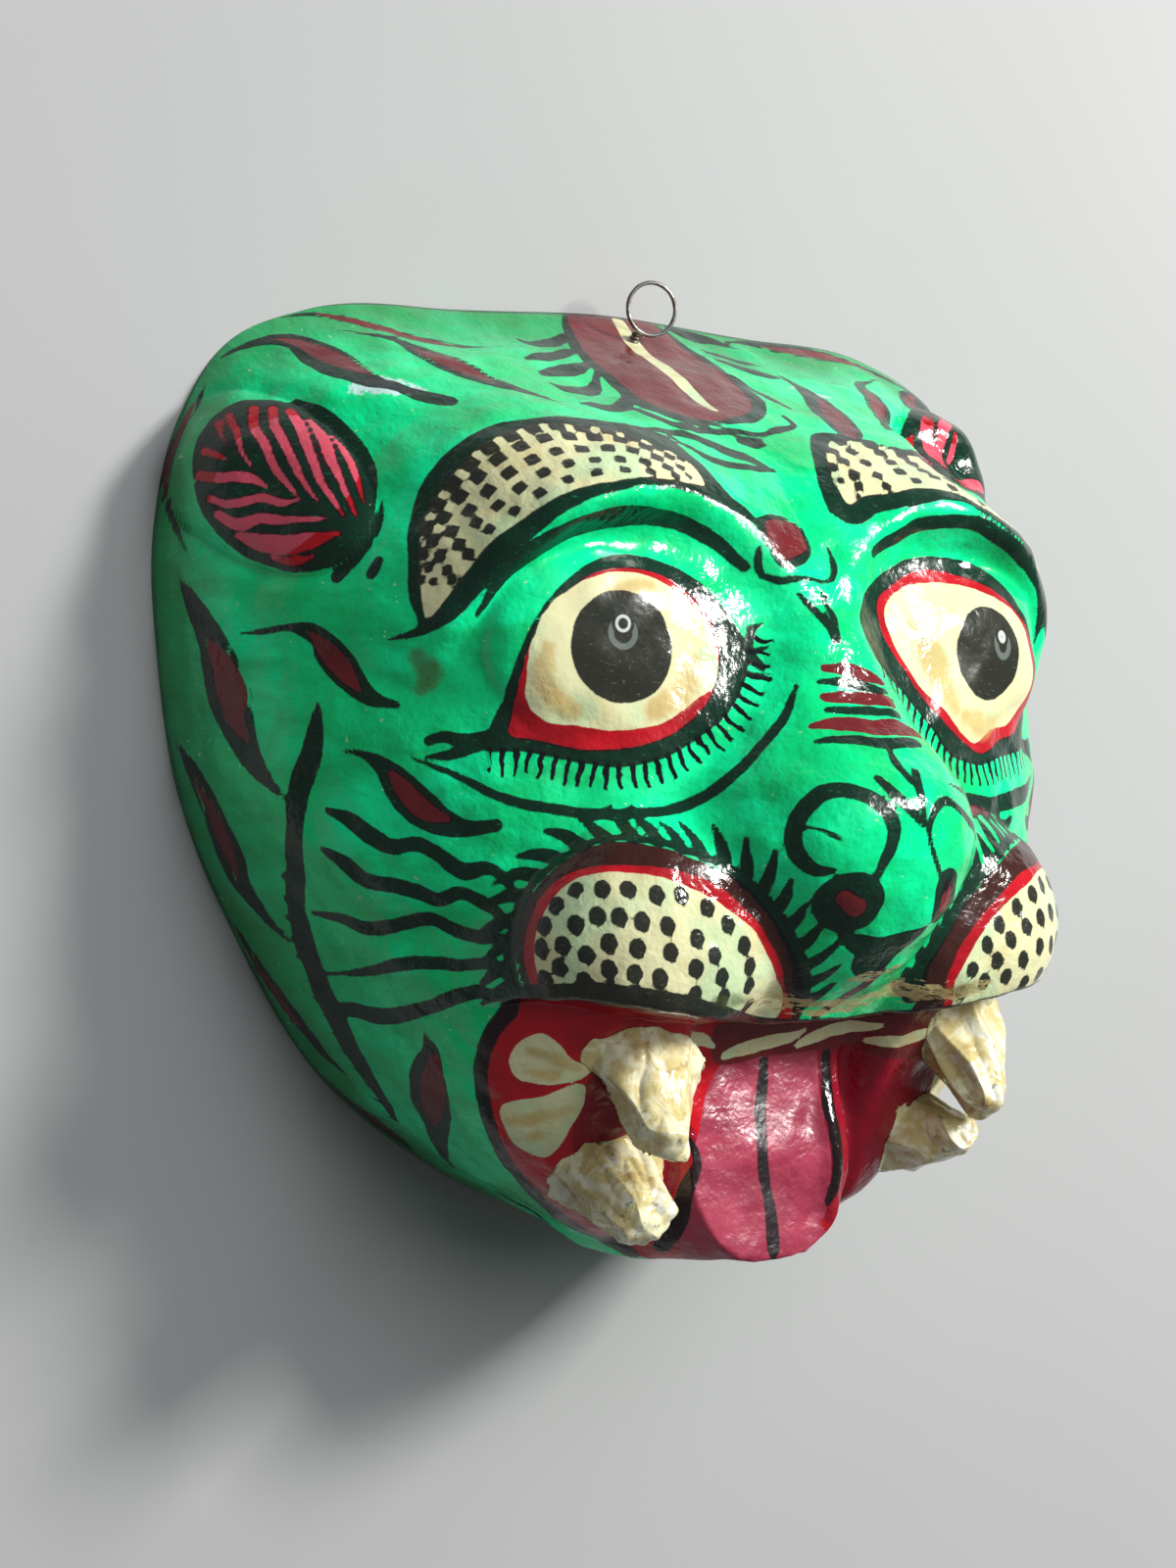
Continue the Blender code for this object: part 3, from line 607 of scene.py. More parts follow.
EYE_RIM = [(-88, 20, 73), (-86, 25, 74), (-84, 32, 76), (-82, 44, 80), (-77, 53, 81), (-66, 62, 81),
           (-54, 66, 81), (-41, 63, 82), (-32, 58, 85), (-26, 51, 88), (-23, 44, 91), (-25, 37, 92),
           (-30, 30, 93), (-39, 23, 92), (-49, 18, 91), (-58, 16, 88), (-69, 17, 84), (-79, 19, 78)]
eye(EYE_RIM,
    [(-82, 23, 76), (-81, 29, 76), (-82, 37, 80), (-80, 45, 81), (-75, 53, 83), (-66, 60, 83),
     (-52, 62, 83), (-42, 59, 84), (-35, 54, 87), (-31, 47, 89), (-32, 39, 91), (-38, 30, 92),
     (-46, 24, 91), (-55, 21, 89), (-67, 20, 84), (-77, 22, 79)],
    [(-79, 31, 79), (-80, 37, 80), (-80, 44, 81), (-76, 53, 82), (-66, 59, 83), (-53, 61, 84),
     (-43, 57, 85), (-35, 51, 88), (-32, 44, 90), (-33, 37, 91), (-40, 32, 91), (-48, 27, 90),
     (-59, 25, 87), (-69, 26, 83), (-75, 27, 80)],
    (-58.5, 44, 87), 13.2)
eye([(8, 50, 95), (14, 58, 89), (25, 64, 84), (36, 68, 81), (50, 69, 80), (62, 67, 79), (72, 60, 80),
     (80, 50, 80), (84, 38, 78), (88, 24, 73), (79, 20, 77), (68, 19, 84), (56, 17, 89), (42, 20, 92),
     (32, 28, 93), (21, 37, 94), (11, 44, 98)],
    [(20, 56, 87), (28, 61, 84), (37, 65, 82), (51, 65, 81), (60, 63, 82), (70, 58, 82), (79, 48, 80),
     (82, 37, 80), (80, 27, 77), (67, 23, 84), (57, 20, 88), (45, 25, 91), (34, 32, 92), (25, 42, 91),
     (20, 51, 89)],
    [(23, 54, 87), (31, 60, 84), (41, 62, 83), (52, 62, 83), (62, 60, 84), (72, 55, 82), (78, 45, 81),
     (79, 35, 80), (72, 28, 81), (61, 26, 86), (55, 23, 88), (42, 30, 91), (28, 41, 91), (24, 49, 89)],
    (59, 45, 86), 12)
both(stroke, "black", [(-86, 22, 75, 2.2), (-90, 21, 71, 2), (-95, 22, 67, 1.4), (-97, 21, 65, 1.2)])
both(stroke, "black", [(-88, 20, 73, 1.2), (-93, 18, 69, 1.3), (-97, 17, 64, .6)])
lay("black", stroke([(-20, 40, 92, 1), (-23, 44, 91, 1.6), (-21, 49, 89, 1.2)]))
fringe("black", [(-22, 49, 89), (-22, 43, 91), (-24, 38, 92)], 3, 5.5, 0.9, -0.3)
lay("black", stroke([(-90, 50, 73, .7), (-85, 60, 77, 2), (-74, 69, 81, 3.2), (-58, 74, 83, 3.6),
                     (-41, 74, 82, 2.3), (-29, 70, 83, 2), (-21, 64, 85, 1.5)]))
lay("black", stroke([(20, 69, 86, 1.5), (28, 73, 84, 2.2), (37, 77, 84, 2.3), (46, 78, 85, 2.2),
                     (55, 77, 86, 2.2), (64, 74, 85, 2.3), (75, 70, 82, 2.4), (84, 65, 78, 2.4),
                     (89, 57, 74, 2), (90, 48, 73, .7)]))
lay("black", stroke([(-100, 17, 62, .5), (-92, 13, 70, .9), (-83, 8, 77, 1.3), (-73, 6, 84, 1.4),
                     (-61, 5, 89, 1.5), (-50, 6, 93, 1.5), (-41, 9, 96, 1.5), (-34, 15, 100, 1.6),
                     (-26, 22, 101, 1.5), (-20, 29, 101, 1.3), (-15, 36, 99, .7)]))
lay("black", stroke([(24, 13, 116, .6), (38, 11, 102, 1), (49, 9, 93, 1.5), (59, 7, 89, 2.1),
                     (72, 8, 84, 2.4), (85, 10, 76, 2.2), (92, 13, 70, .8)]))
lay("black", stroke([(14, 14, 121, .6), (22, 12, 118, 1.2), (38, 7, 104, 1.8), (54, 5, 91, 2.2),
                     (60, 3, 90, 1.8), (69, 2, 86, .6)]))
lay("wine", stroke([(22, 12, 118, .4), (38, 7, 104, 1), (54, 5, 91, 1.2), (61, 3, 90, .4)]), ("black",))
# Varnish that has gone yellow in patches on the eyeballs.
for patch in ([(33, 51, 87, 2), (37, 45, 90, 4), (41, 38, 91, 4), (45, 32, 91, 2)],
              [(50, 29, 89, 1.5), (57, 27, 87, 3), (63, 28, 85, 1.5)],
              [(-38, 41, 90, 1.5), (-43, 34, 91, 2.6), (-51, 29, 90, 1.5)],
              [(-76, 42, 81, 1.5), (-75, 34, 80, 2.2), (-69, 29, 83, 1.5)],
              [(-60, 56, 84, 1), (-50, 58, 84, 1.4)]):
    lay("ochre", stroke(patch))


# Brows: black patch with a cream middle, checked in rows that follow its arch.
CHECK_ROWS = (0.02, 0.24, 0.46, 0.67, 0.86)     # from the cream's top line to its foot
CHECK_HALF, CHECK_LESS = 1.9, 0.14              # half size in the first row, less in each next
ARCH_STEPS = 400


def brow(top, foot, cream_top, cream_foot, counts):
    """Painted brow between an arched top line and a brushed foot line."""
    lay("black", fill(list(top) + [k[:3] for k in foot[-2:0:-1]]))
    lay("cream", fill(list(cream_top) + list(cream_foot[-2:0:-1])), ("black",))
    lay("black", stroke(foot))
    high, low = smooth_run(cream_top, ARCH_STEPS), smooth_run(cream_foot, ARCH_STEPS)
    tall = np.linalg.norm(high - low, axis=1)
    for row, across in enumerate(CHECK_ROWS):
        shift = 0.5 * (row % 2)
        at = (ARCH_STEPS * (np.arange(counts[row]) + 0.5 + shift) / counts[row]).astype(int)
        least = 1.9 if row % 2 else 1.0
        for k in at[at < ARCH_STEPS - 4]:
            if tall[k] * 0.22 > least and tall[k] > 6:
                size = min(CHECK_HALF - CHECK_LESS * row, tall[k] * 0.11)
                middle = high[k] * (1 - across) + low[k] * across
                way = high[min(k + 9, ARCH_STEPS - 1)] - high[max(k - 9, 0)]
                lay("black", block(middle, way, size * 1.1, size * (1.0 if row else 1.5)))


BROW_TOP = [(-100, 47, 64), (-102, 54, 62), (-101, 62, 60), (-99, 71, 57), (-97, 77, 56),
            (-92, 84, 56), (-84, 91, 58), (-77, 95, 59), (-69, 97, 61), (-57, 98, 63), (-43, 97, 66),
            (-31, 94, 69), (-28, 89, 76), (-25, 82, 82), (-17, 74, 86)]
BROW_FOOT = [(-104, 44, 58, .6), (-100, 46, 64, 1.2), (-96, 50, 70, 1.6), (-93, 55, 73, 2.1),
             (-88, 62, 76, 2.2), (-81, 70, 80, 1.9), (-73, 77, 84, 1.6), (-61, 81, 86, 1.3),
             (-47, 83, 86, 1.2), (-32, 81, 85, 1.3), (-22, 78, 85, 1.9), (-17, 74, 86, .8)]
CREAM_TOP = [(-99, 49, 66), (-100, 56, 64), (-99, 63, 62), (-97, 72, 60), (-93, 78, 60),
             (-89, 83, 61), (-83, 89, 62), (-75, 93, 63), (-67, 96, 64), (-60, 96, 66), (-51, 95, 69),
             (-41, 92, 74), (-33, 88, 78), (-32, 83, 83)]
CREAM_FOOT = [(-99, 49, 66), (-96, 54, 69), (-92, 61, 72), (-88, 66, 74), (-83, 72, 78),
              (-76, 77, 81), (-70, 80, 83), (-60, 82, 85), (-50, 83, 85), (-37, 83, 84), (-32, 83, 83)]
brow(BROW_TOP, BROW_FOOT, CREAM_TOP, CREAM_FOOT, (17, 16, 15, 14, 12))
brow([*flip(BROW_TOP[:10]).tolist(), (44, 99, 66), (33, 101, 60), (24, 100, 58), (17, 95, 64), (13, 90, 70),
      (10, 84, 76), (10, 79, 81)],
     [*flip(BROW_FOOT[:8]).tolist(), (46, 84, 85, 1.3), (36, 82, 84, 1.3), (23, 80, 83, 1.5),
      (14, 77, 83, 1.5), (10, 79, 81, 1)],
     [*flip(CREAM_TOP[:10]).tolist(), (46, 97, 68), (36, 98, 63), (28, 98, 61), (21, 95, 66), (17, 90, 71),
      (15, 85, 77), (16, 81, 81)],
     [*flip(CREAM_FOOT[:8]).tolist(), (47, 86, 84), (38, 86, 82), (30, 84, 81), (21, 83, 80), (16, 81, 81)],
     (15, 14, 13, 12, 10))

# Forehead: a beetle with a striped wine-red body and brushed legs, an arc, a dot and an open
# leaf beneath it, and a wine almond with a broken square between the brows.
lay("black", fill([(-14, 129, 1), (-20, 123, 10), (-26, 115, 26), (-27, 108, 40), (-28, 102, 54),
                   (-21, 99, 59), (-7, 99, 57), (6, 101, 55), (16, 104, 48), (21, 108, 40),
                   (21, 114, 30), (22, 120, 16), (19, 125, 7), (16, 129, 1)]))
lay("wine", fill([(-13, 129, 2), (-17, 123, 11), (-23, 116, 26), (-23, 109, 38), (-23, 104, 50),
                  (-18, 101, 55), (-8, 101, 56), (2, 102, 53), (11, 105, 48), (17, 109, 39),
                  (19, 113, 31), (19, 119, 18), (17, 124, 9), (15, 129, 1)]), ("black",))
lay("cream", stroke([(3, 129, 2, 1.5), (1, 124, 9, 1.9), (-1, 119, 20, 2.2), (-2, 113, 32, 2.1),
                     (-3, 108, 42, 1.8), (-3, 104, 50, 1.1)]), ("wine",))
LEGS = [[(-36, 121, 12, 1), (-34, 119, 15, 2.6), (-28, 120, 14, 2.6), (-20, 123, 10, 1.7)],
        [(-44, 114, 26, .9), (-38, 115, 25, 2.6), (-32, 116, 23, 2.2), (-25, 118, 19, 2.2)],
        [(-45, 111, 35, 1.4), (-39, 112, 33, 2.8), (-32, 113, 31, 2.7), (-25, 115, 27, 1.2)],
        [(-46, 108, 40, 1.2), (-43, 107, 43, 3), (-38, 107, 43, 3.2), (-30, 110, 37, 1.2),
         (-27, 112, 33, .9)],
        [(-46, 103, 53, 1.3), (-43, 102, 54, 2.9), (-37, 102, 54, 3), (-29, 105, 48, 1.8),
         (-25, 107, 42, .6)],
        [(21, 128, 2, 2.2), (25, 127, 4, 3.2), (31, 126, 4, 2.6), (41, 124, 6, .6)],
        [(25, 122, 10, .9), (30, 121, 13, 1.8), (34, 120, 14, 2.1), (41, 119, 14, .7)],
        [(25, 119, 16, 1.1), (31, 117, 20, 2.6), (36, 116, 23, 2.6), (41, 116, 23, 1.2)],
        [(22, 115, 27, 1.1), (23, 112, 34, 1.6), (25, 109, 39, 1.5), (27, 106, 45, .8)],
        [(-31, 102, 54, 1.6), (-30, 100, 58, 2), (-25, 98, 61, 2), (-14, 98, 61, 1.5), (-3, 98, 59, 1.3),
         (7, 98, 59, 1.2), (13, 100, 57, 1.7), (21, 102, 53, 1), (21, 104, 49, .8)],
        [(-4, 95, 62, 1.6), (0, 95, 62, 2.1), (3, 95, 62, 1.5)],
        [(-48, 97, 65, .7), (-37, 96, 66, 1.3), (-26, 96, 65, 1.4), (-18, 94, 65, 2), (-11, 92, 67, 2.5),
         (-5, 90, 68, 2.2), (1, 88, 70, .5)],
        [(-31, 95, 67, .7), (-27, 93, 69, 1.2), (-23, 91, 72, 1.6), (-15, 89, 72, 1.6), (-5, 88, 71, 1.1),
         (1, 88, 70, .5)]]
for leg in LEGS:
    lay("black", stroke(leg))
lay("black", fill([(-18, 75, 85), (-13, 77, 84), (-5, 77, 82), (0, 74, 82), (0, 69, 85), (-6, 65, 89),
                   (-12, 64, 89), (-16, 69, 87)]))
lay("wine", fill([(-15, 74, 86), (-8, 76, 83), (-2, 74, 82), (-1, 70, 85), (-7, 67, 88), (-12, 66, 88),
                  (-15, 71, 87)]), ("black",))
BRIDGE_MARKS = [[(-18, 68, 87, 1.2), (-18, 64, 87, 1.2), (-17, 62, 88, 1)],
                [(-17, 62, 87, 1), (-12, 61, 89, 1.1), (-7, 62, 91, .9), (2, 62, 91, .9), (5, 66, 88, 1),
                 (5, 70, 86, .7)],
                [(-9, 58, 92, .8), (-5, 53, 94, 1.5), (-3, 50, 96, 1.9), (-3, 47, 98, 1.4)],
                [(-2, 58, 93, .8), (-1, 54, 94, 1.2), (-2, 47, 98, 1)],
                [(4, 16, 120, 1.3), (2, 11, 125, 1.4), (2, 5, 127, .8)],
                [(-8, 15, 121, 1.4), (-5, 11, 125, 1.8), (-1, 7, 126, 1.3), (2, 4, 127, .6)],
                [(1, 22, 115, .8), (0, 18, 118, 1.4), (1, 14, 122, 1.1)]]
for mark in BRIDGE_MARKS:
    lay("black", stroke(mark))
BARS = [([(-8, 40.5, 101, 1), (-3, 40.5, 102, 1.7), (5, 39.5, 103, 1.9), (11, 38, 102, 1.2)],
         [(-10, 37.5, 102, .8), (-5, 37.5, 103, 1.3), (5, 36.5, 104, 1.5), (11, 35.5, 103, 1)]),
        ([(-10, 34, 104, 1.4), (-2, 34, 105, 1.9), (11, 32.5, 104, 1.9)],
         [(-11, 31, 106, 1), (-2, 31, 107, 1.4), (11, 29.5, 106, 1.4)]),
        ([(-16, 26.5, 106, .9), (-10, 27.5, 108, 2), (0, 27, 110, 2.5), (11, 26, 109, 2.5),
          (15, 24, 108, 1.7)],
         [(-17, 23, 109, .9), (-10, 23.5, 111, 1.5), (-1, 23, 113, 1.8), (11, 22, 112, 1.8)])]
for red_bar, black_bar in BARS:
    lay("wine", stroke(red_bar))
    lay("black", stroke(black_bar))

# Nose: two open scrolls that end in black nostrils with wine cores, and a black tip between.
lay("black", stroke([(-21, -6, 121, .9), (-25, -6, 119, 1.8), (-28, -2, 116, 2.2), (-29, 4, 116, 2.2),
                     (-26, 9, 117, 2.2), (-21, 12, 118, 2.2), (-15, 12, 122, 2.2), (-10, 9, 125, 2.2),
                     (-7, 4, 126, 2.2), (-8, -2, 126, 1.9), (-11, -8, 124, 1.2)]))
lay("black", stroke([(-27, 4, 118, .7), (-24, 3, 120, .7), (-20, 1, 122, .9)]))
lay("black", stroke([(10, -9, 124, 1.1), (6, -2, 126, 1), (4, 4, 126, 1), (6, 8, 125, 1.2),
                     (11, 10, 124, 1.3), (18, 7, 122, 1.3), (27, 2, 116, 1.3), (36, -4, 109, 1.2),
                     (38, -9, 107, .8)]))
lay("black", stroke([(-15.8, -14, 120, 8.2), (-14.6, -14, 121, 8.2)]))
lay("wine", stroke([(-17, -12.8, 121, 2.1), (-13.4, -15, 121, 2.6)]), ("black",))
lay("black", stroke([(13, -10.5, 124, 4.8), (14, -15, 121, 5)]))
lay("wine", stroke([(13.2, -10.6, 124, 2), (13.6, -14.6, 122, 2.3)]), ("black",))
lay("black", stroke([(10, -9, 124, 1.2), (12, -10, 124, 2)]))
lay("black", fill([(-11, -22, 118), (-9, -21.5, 118), (-2, -22, 119), (5, -20.5, 120), (10, -19, 119),
                   (9, -23, 117), (6, -27, 115), (4, -31, 111), (-1, -33, 110), (-5, -31, 111),
                   (-8, -26, 115)]))
lay("black", stroke([(-15, -20, 117, 1.4), (-12, -22.5, 117, 2), (-8, -25, 115, 1.6)]))
lay("brown", stroke([(4, -31, 111, 1.6), (2, -35, 107, 1.8), (-1, -39, 102, 1.6), (-5, -42, 97, 1.2)]))
lay("smear", stroke([(-28, -38, 103, 1), (-16, -40, 100, 2.4), (-2, -40, 101, 3.2),
                     (10, -39, 102, 3.4), (22, -39, 102, 3), (32, -38, 104, 2.6), (44, -37, 106, 1.6)]))
lay("smear", stroke([(-3, -33, 109, 1.4), (4, -32, 110, 1.8), (10, -30, 111, .8)]))

# Muzzle: cream pads with black seeds, ringed in red, under a brown band that bristles with
# black hairs; the lip cuts them off below.
HAIRS, HAIR_LONG, HAIR_WIDE = 22, 9.8, 1.9


def pad(edge, ring, cream, seeds, hairs, turn):
    """Painted pad: closed outlines of band, ring and field, the places of the seeds, and the
    line that the hairs stand on, which runs the other way where turn is -1."""
    above = lip_line(np.abs(skin[:, 0])) - skin[:, 1]
    layers = (("brown", edge, ()), ("red", ring, ("brown",)), ("cream", cream, ("brown",)))
    for colour, outline, lift in layers:
        some, value = fill(outline)
        value = np.maximum(value, above[some] - 0.5)
        lay(colour, (some, value), lift)
    fringe("black", hairs[::turn], HAIRS, HAIR_LONG, HAIR_WIDE, -0.7 * turn)
    path = smooth_run(hairs, 30)
    wide = hermite([0, 10, 29], [2.2, 1.2, 2.4], np.arange(30.0))
    lay("black", stroke(np.c_[path, wide]))
    for x, y, z in seeds:
        lay("black", stroke([(x - 0.4, y + 1.2, z, 1.9), (x + 0.1, y - 0.1, z, 2.2),
                             (x + 0.7, y - 1.6, z, .7)]))


pad([(-83, -25, 82), (-82, -36, 82), (-70, -46, 90), (-40, -50, 90), (-10, -47, 92), (-9, -42, 98),
     (-14, -35, 104), (-19, -28, 107), (-25, -20, 107), (-33, -12, 107), (-44, -6, 106),
     (-56, -2, 101), (-64, -1, 95), (-71, -3, 90), (-78, -9, 86), (-82, -17, 83)],
    [(-82, -24, 85), (-81, -36, 85), (-70, -46, 90), (-40, -50, 90), (-12, -48, 92), (-11, -43, 96),
     (-17, -36, 101), (-22, -29, 105), (-30, -21, 107), (-38, -14, 107), (-47, -9, 106),
     (-59, -6, 103), (-67, -6, 98), (-73, -7, 93), (-79, -12, 88), (-82, -18, 86)],
    [(-80, -26, 88), (-79, -36, 88), (-70, -44, 90), (-40, -48, 90), (-16, -46, 92), (-15, -41, 97),
     (-20, -35, 102), (-27, -28, 106), (-35, -20, 108), (-43, -15, 108), (-52, -11, 106),
     (-63, -8, 102), (-69, -8, 98), (-75, -10, 93), (-79, -16, 90)],
    [(-79, -16, 92), (-76, -12, 95), (-71, -12, 99), (-66, -12, 102), (-60, -13, 105),
     (-54, -13, 107), (-47, -16, 108), (-41, -20, 108), (-36, -25, 108), (-33, -30, 107),
     (-32, -35, 106), (-29, -40, 102), (-80, -21, 90), (-77, -20, 97), (-73, -18, 100),
     (-69, -18, 103), (-64, -19, 105), (-58, -20, 107), (-50, -23, 108), (-45, -27, 109),
     (-42, -32, 107), (-40, -37, 106), (-81, -26, 90), (-79, -25, 95), (-75, -27, 99),
     (-71, -24, 102), (-65, -25, 105), (-57, -26, 107), (-50, -30, 108), (-49, -36, 107),
     (-79, -33, 89), (-78, -30, 93), (-74, -33, 97), (-70, -30, 101), (-65, -31, 104),
     (-59, -32, 106), (-57, -37, 105), (-69, -36, 101)],
    [(-83, -36, 80), (-84, -25, 81), (-82, -16, 82), (-76, -6, 86), (-66, -1, 92), (-54, -1, 101),
     (-43, -5, 105), (-32, -12, 107), (-23, -20, 107), (-17, -29, 106), (-11, -40, 100)], 1)
pad([(83, -25, 82), (82, -36, 82), (70, -46, 90), (45, -50, 90), (27, -47, 95), (26, -40, 101),
     (25, -32, 104), (28, -25, 107), (33, -18, 108), (41, -11, 107), (50, -5, 105), (60, -2, 99),
     (71, -3, 90), (78, -9, 86), (82, -17, 83)],
    [(82, -24, 85), (81, -36, 85), (70, -46, 90), (45, -50, 90), (33, -48, 95), (33, -41, 103),
     (31, -34, 106), (33, -27, 108), (39, -20, 108), (47, -14, 108), (55, -9, 106), (64, -7, 102),
     (72, -7, 95), (79, -12, 88), (82, -18, 86)],
    [(80, -26, 88), (79, -36, 88), (70, -44, 90), (48, -48, 90), (37, -47, 95), (36, -41, 103),
     (34, -35, 106), (37, -28, 108), (44, -20, 108), (52, -15, 107), (60, -11, 105), (67, -9, 100),
     (73, -10, 95), (79, -16, 90)],
    [(78, -16, 92), (71, -13, 99), (65, -13, 103), (59, -15, 106), (53, -18, 107), (46, -22, 108),
     (42, -27, 108), (38, -33, 107), (37, -39, 105), (80, -22, 90), (74, -20, 99), (68, -20, 103),
     (62, -21, 106), (56, -23, 107), (50, -26, 108), (46, -31, 107), (43, -36, 106), (78, -29, 93),
     (73, -27, 99), (67, -28, 103), (61, -28, 106), (55, -31, 107), (50, -35, 106), (71, -34, 99),
     (64, -35, 103), (58, -37, 105)],
    [(83, -36, 80), (84, -25, 81), (82, -16, 82), (76, -6, 86), (66, -1, 92), (55, -2, 100), (44, -7, 106),
     (35, -14, 108), (28, -22, 107), (24, -30, 105), (24, -40, 101)], -1)

# Mouth: red inside a black outline, a strip of flat cream teeth under the lip, two painted teeth
# on each side, and a rose tongue with three black stripes that hangs over the chin.
ax = np.abs(skin[:, 0])
some, value = fill([(-80, -43, 72), (-80, -49, 67), (-79, -57, 64), (-75, -65, 61), (-69, -74, 58),
                    (-60, -84, 55), (-48, -94, 53), (-34, -101, 54), (-20, -106, 62), (0, -108, 66),
                    (20, -106, 62), (34, -101, 54), (48, -94, 53), (60, -84, 55), (69, -74, 58),
                    (75, -65, 61), (79, -57, 64), (80, -49, 67), (80, -43, 72), (76, -36, 88),
                    (50, -30, 104), (0, -30, 110), (-50, -30, 104), (-76, -36, 88)], 30)
value = np.maximum(value, skin[some, 1] - lip_line(ax[some]) + 0.6)
for colour in COLOURS:
    if colour not in ("brown", "smear", "olive", "ochre"):
        paint[colour][some] = np.where(value < -1.5, FAR, paint[colour][some])
lay("red", (some, value), ("black", "brown"))
both(stroke, "black", [(-76, -38, 86, 2), (-79, -42, 75, 2.2), (-80, -48, 69, 2), (-79, -57, 64, 1.9),
                       (-75, -65, 61, 1.8), (-69, -74, 58, 1.8), (-60, -84, 55, 2), (-48, -94, 53, 2.4),
                       (-36, -101, 54, 2.6), (-27, -105, 58, 2.2)])
leftward = step(8, 30, -skin[:, 0])
lip_shift = leftward * hermite([0, 25, 50, 84], [0.3, 0.9, 2.1, 2.2], ax) - 0.7
lip_half = leftward * hermite([0, 25, 45, 60, 72, 84], [0.1, 0.3, 1.1, 1.5, 1.5, 0.9], ax) + 1.2
lip_band = np.abs(skin[:, 1] - lip_line(ax) - lip_shift) - lip_half
paint["black"] = np.minimum(paint["black"], np.where((ax < 80) & (skin[:, 2] > 70), lip_band, FAR))
# Painted shade: a darker red over the mouth's right side and round the left fangs, where the red lies in
# shade.
lay("shaded_red", fill([(18, -50, 76), (32, -50, 80), (50, -48, 85), (66, -46, 86), (76, -46, 80),
                     (74, -58, 68), (70, -70, 62), (60, -82, 57), (48, -92, 56), (30, -101, 60),
                     (19, -102, 72), (18, -84, 79), (17, -68, 77)]))
lay("shaded_red", fill([(-58, -62, 76), (-54, -53, 80), (-44, -56, 79), (-28, -58, 72), (-23, -76, 74),
                     (-27, -90, 70), (-40, -90, 62), (-50, -82, 66), (-57, -71, 72)]))
lay("rose", fill([(-13, -56, 74), (-19, -64, 75), (-22, -72, 77), (-24, -79, 77), (-23, -84, 77),
                  (-25, -90, 77), (-24, -96, 74), (-20, -103, 69), (-8, -107, 66), (6, -107, 66),
                  (14, -103, 71), (18, -94, 79), (18, -83, 80), (17, -68, 77), (16, -53, 75)]))
for stripe in ([(-25, -74, 77, .7), (-23, -80, 78, 1.5), (-26, -87, 77, 2.1), (-25, -95, 74, 2.1),
                (-25, -103, 67, 2.2)],
               [(0, -54, 75, 1.4), (-1, -63, 76, 1.9), (-3, -73, 77, 1.9), (-3, -82, 79, 1.8),
                (-1, -91, 79, 1.9), (0, -98, 80, 2.2), (0, -106, 74, 2.1)],
               [(20, -52, 75, 1.5), (20, -60, 75, 1.8), (19, -69, 78, 2), (20, -78, 80, 2.2),
                (20, -86, 80, 2), (18, -93, 79, .8)]):
    lay("black", stroke(stripe))
lay("wine", fill([(-18, -49, 84), (0, -46, 88), (30, -46, 89), (62, -47, 84), (58, -53, 78), (36, -55, 78),
                  (16, -55, 75), (-2, -56, 74), (-14, -57, 74)]), ("rose", "black"))
for tooth in ([(-13, -55, 74, .8), (-7, -53.5, 75, 1.4), (2, -52, 75, 1.5), (9, -51, 76, 1),
               (12, -50, 77, .4)],
              [(10, -53.5, 75, .6), (15, -51.5, 75, 1.4), (23, -50, 78, 1.4), (29, -48.5, 81, .9),
               (31, -48, 83, .4)],
              [(29, -53, 79, .7), (34, -51.5, 82, 1.5), (42, -50.5, 84, 1.6), (50, -49, 84, .9)],
              [(50, -53, 80, .7), (56, -51, 82, 1.5), (63, -49.5, 82, .9)],
              [(-34, -53, 80, .6), (-28, -52, 82, 1.7), (-21, -52, 80, 1.4), (-17, -53, 77, .5)]):
    lay("cream", stroke(tooth), ("black",))
for tooth in ([(-75, -53, 71), (-74, -49, 74), (-71, -47, 77), (-67, -50, 79), (-63, -53, 78),
               (-58, -56, 79), (-60, -58, 78), (-67, -59, 73), (-72, -58, 70)],
              [(-72, -66, 64), (-66, -63, 72), (-58, -60, 77), (-57, -63, 76), (-58, -69, 73),
               (-61, -78, 65), (-66, -76, 63), (-70, -71, 63)]):
    both(fill, "cream", tooth, ("black",))
# Brown streaks over the painted teeth: brownish paint, and painted shade in the teeth's folds.
for streak in ([(-72, -51, 74, .5), (-67, -53, 77, 1), (-61, -55.5, 79, .6)],
               [(-71, -56, 71, .4), (-65, -57, 75, .9)],
               [(-70, -69, 64, .5), (-65, -68, 69, 1.1), (-60, -66, 74, .7)],
               [(-67, -74, 63, .5), (-63, -72, 67, .9)]):
    both(stroke, "ochre", streak)

# Worn and bare spots: paint flaked to its pale ground, and a dull dimple beside the left brow that is only
# painted: olive paint, with painted shade for its hollow, as the skin has no dent there.
lay("chalk", stroke([(-97, 103, 29, 2.2), (-92, 104, 32, 4.2), (-87, 104, 36, 3.2), (-83, 103, 40, 1.6)]))
lay("chalk", stroke([(38, 113, 30, 1), (44, 112, 31, 2), (49, 110, 33, 1)]))
lay("olive", stroke([(-99, 40, 63, 2.4), (-97, 37, 64, 3.6), (-98, 33, 63, 2)]))
both(stroke, "olive", [(-30, -38, 104, 1), (-36, -37.5, 105, 1.6), (-43, -37, 106, .8)])


# Lower lashes: even black ticks that the varnished paint draws from two more fields, how far
# along an eye's lower rim a point of the skin lies and how far outside it.
NO_LASH = 50.0


def lash_marks(line):
    """Along and outward distances of the skin's points from a line, and which points they are."""
    place, out, _ = trail(line)
    some, offset, pick, along = nearest(place, 40)
    way = np.diff(place, axis=0)
    length = np.linalg.norm(way, axis=1)
    side = np.sign((np.cross(way[pick], offset) * out[pick]).sum(-1))
    run = np.r_[0, np.cumsum(length)][pick] + along * length[pick]
    run = np.where((pick == len(way) - 1) & (along >= 1), -NO_LASH, run)
    return some, run, side * np.linalg.norm(offset, axis=1)


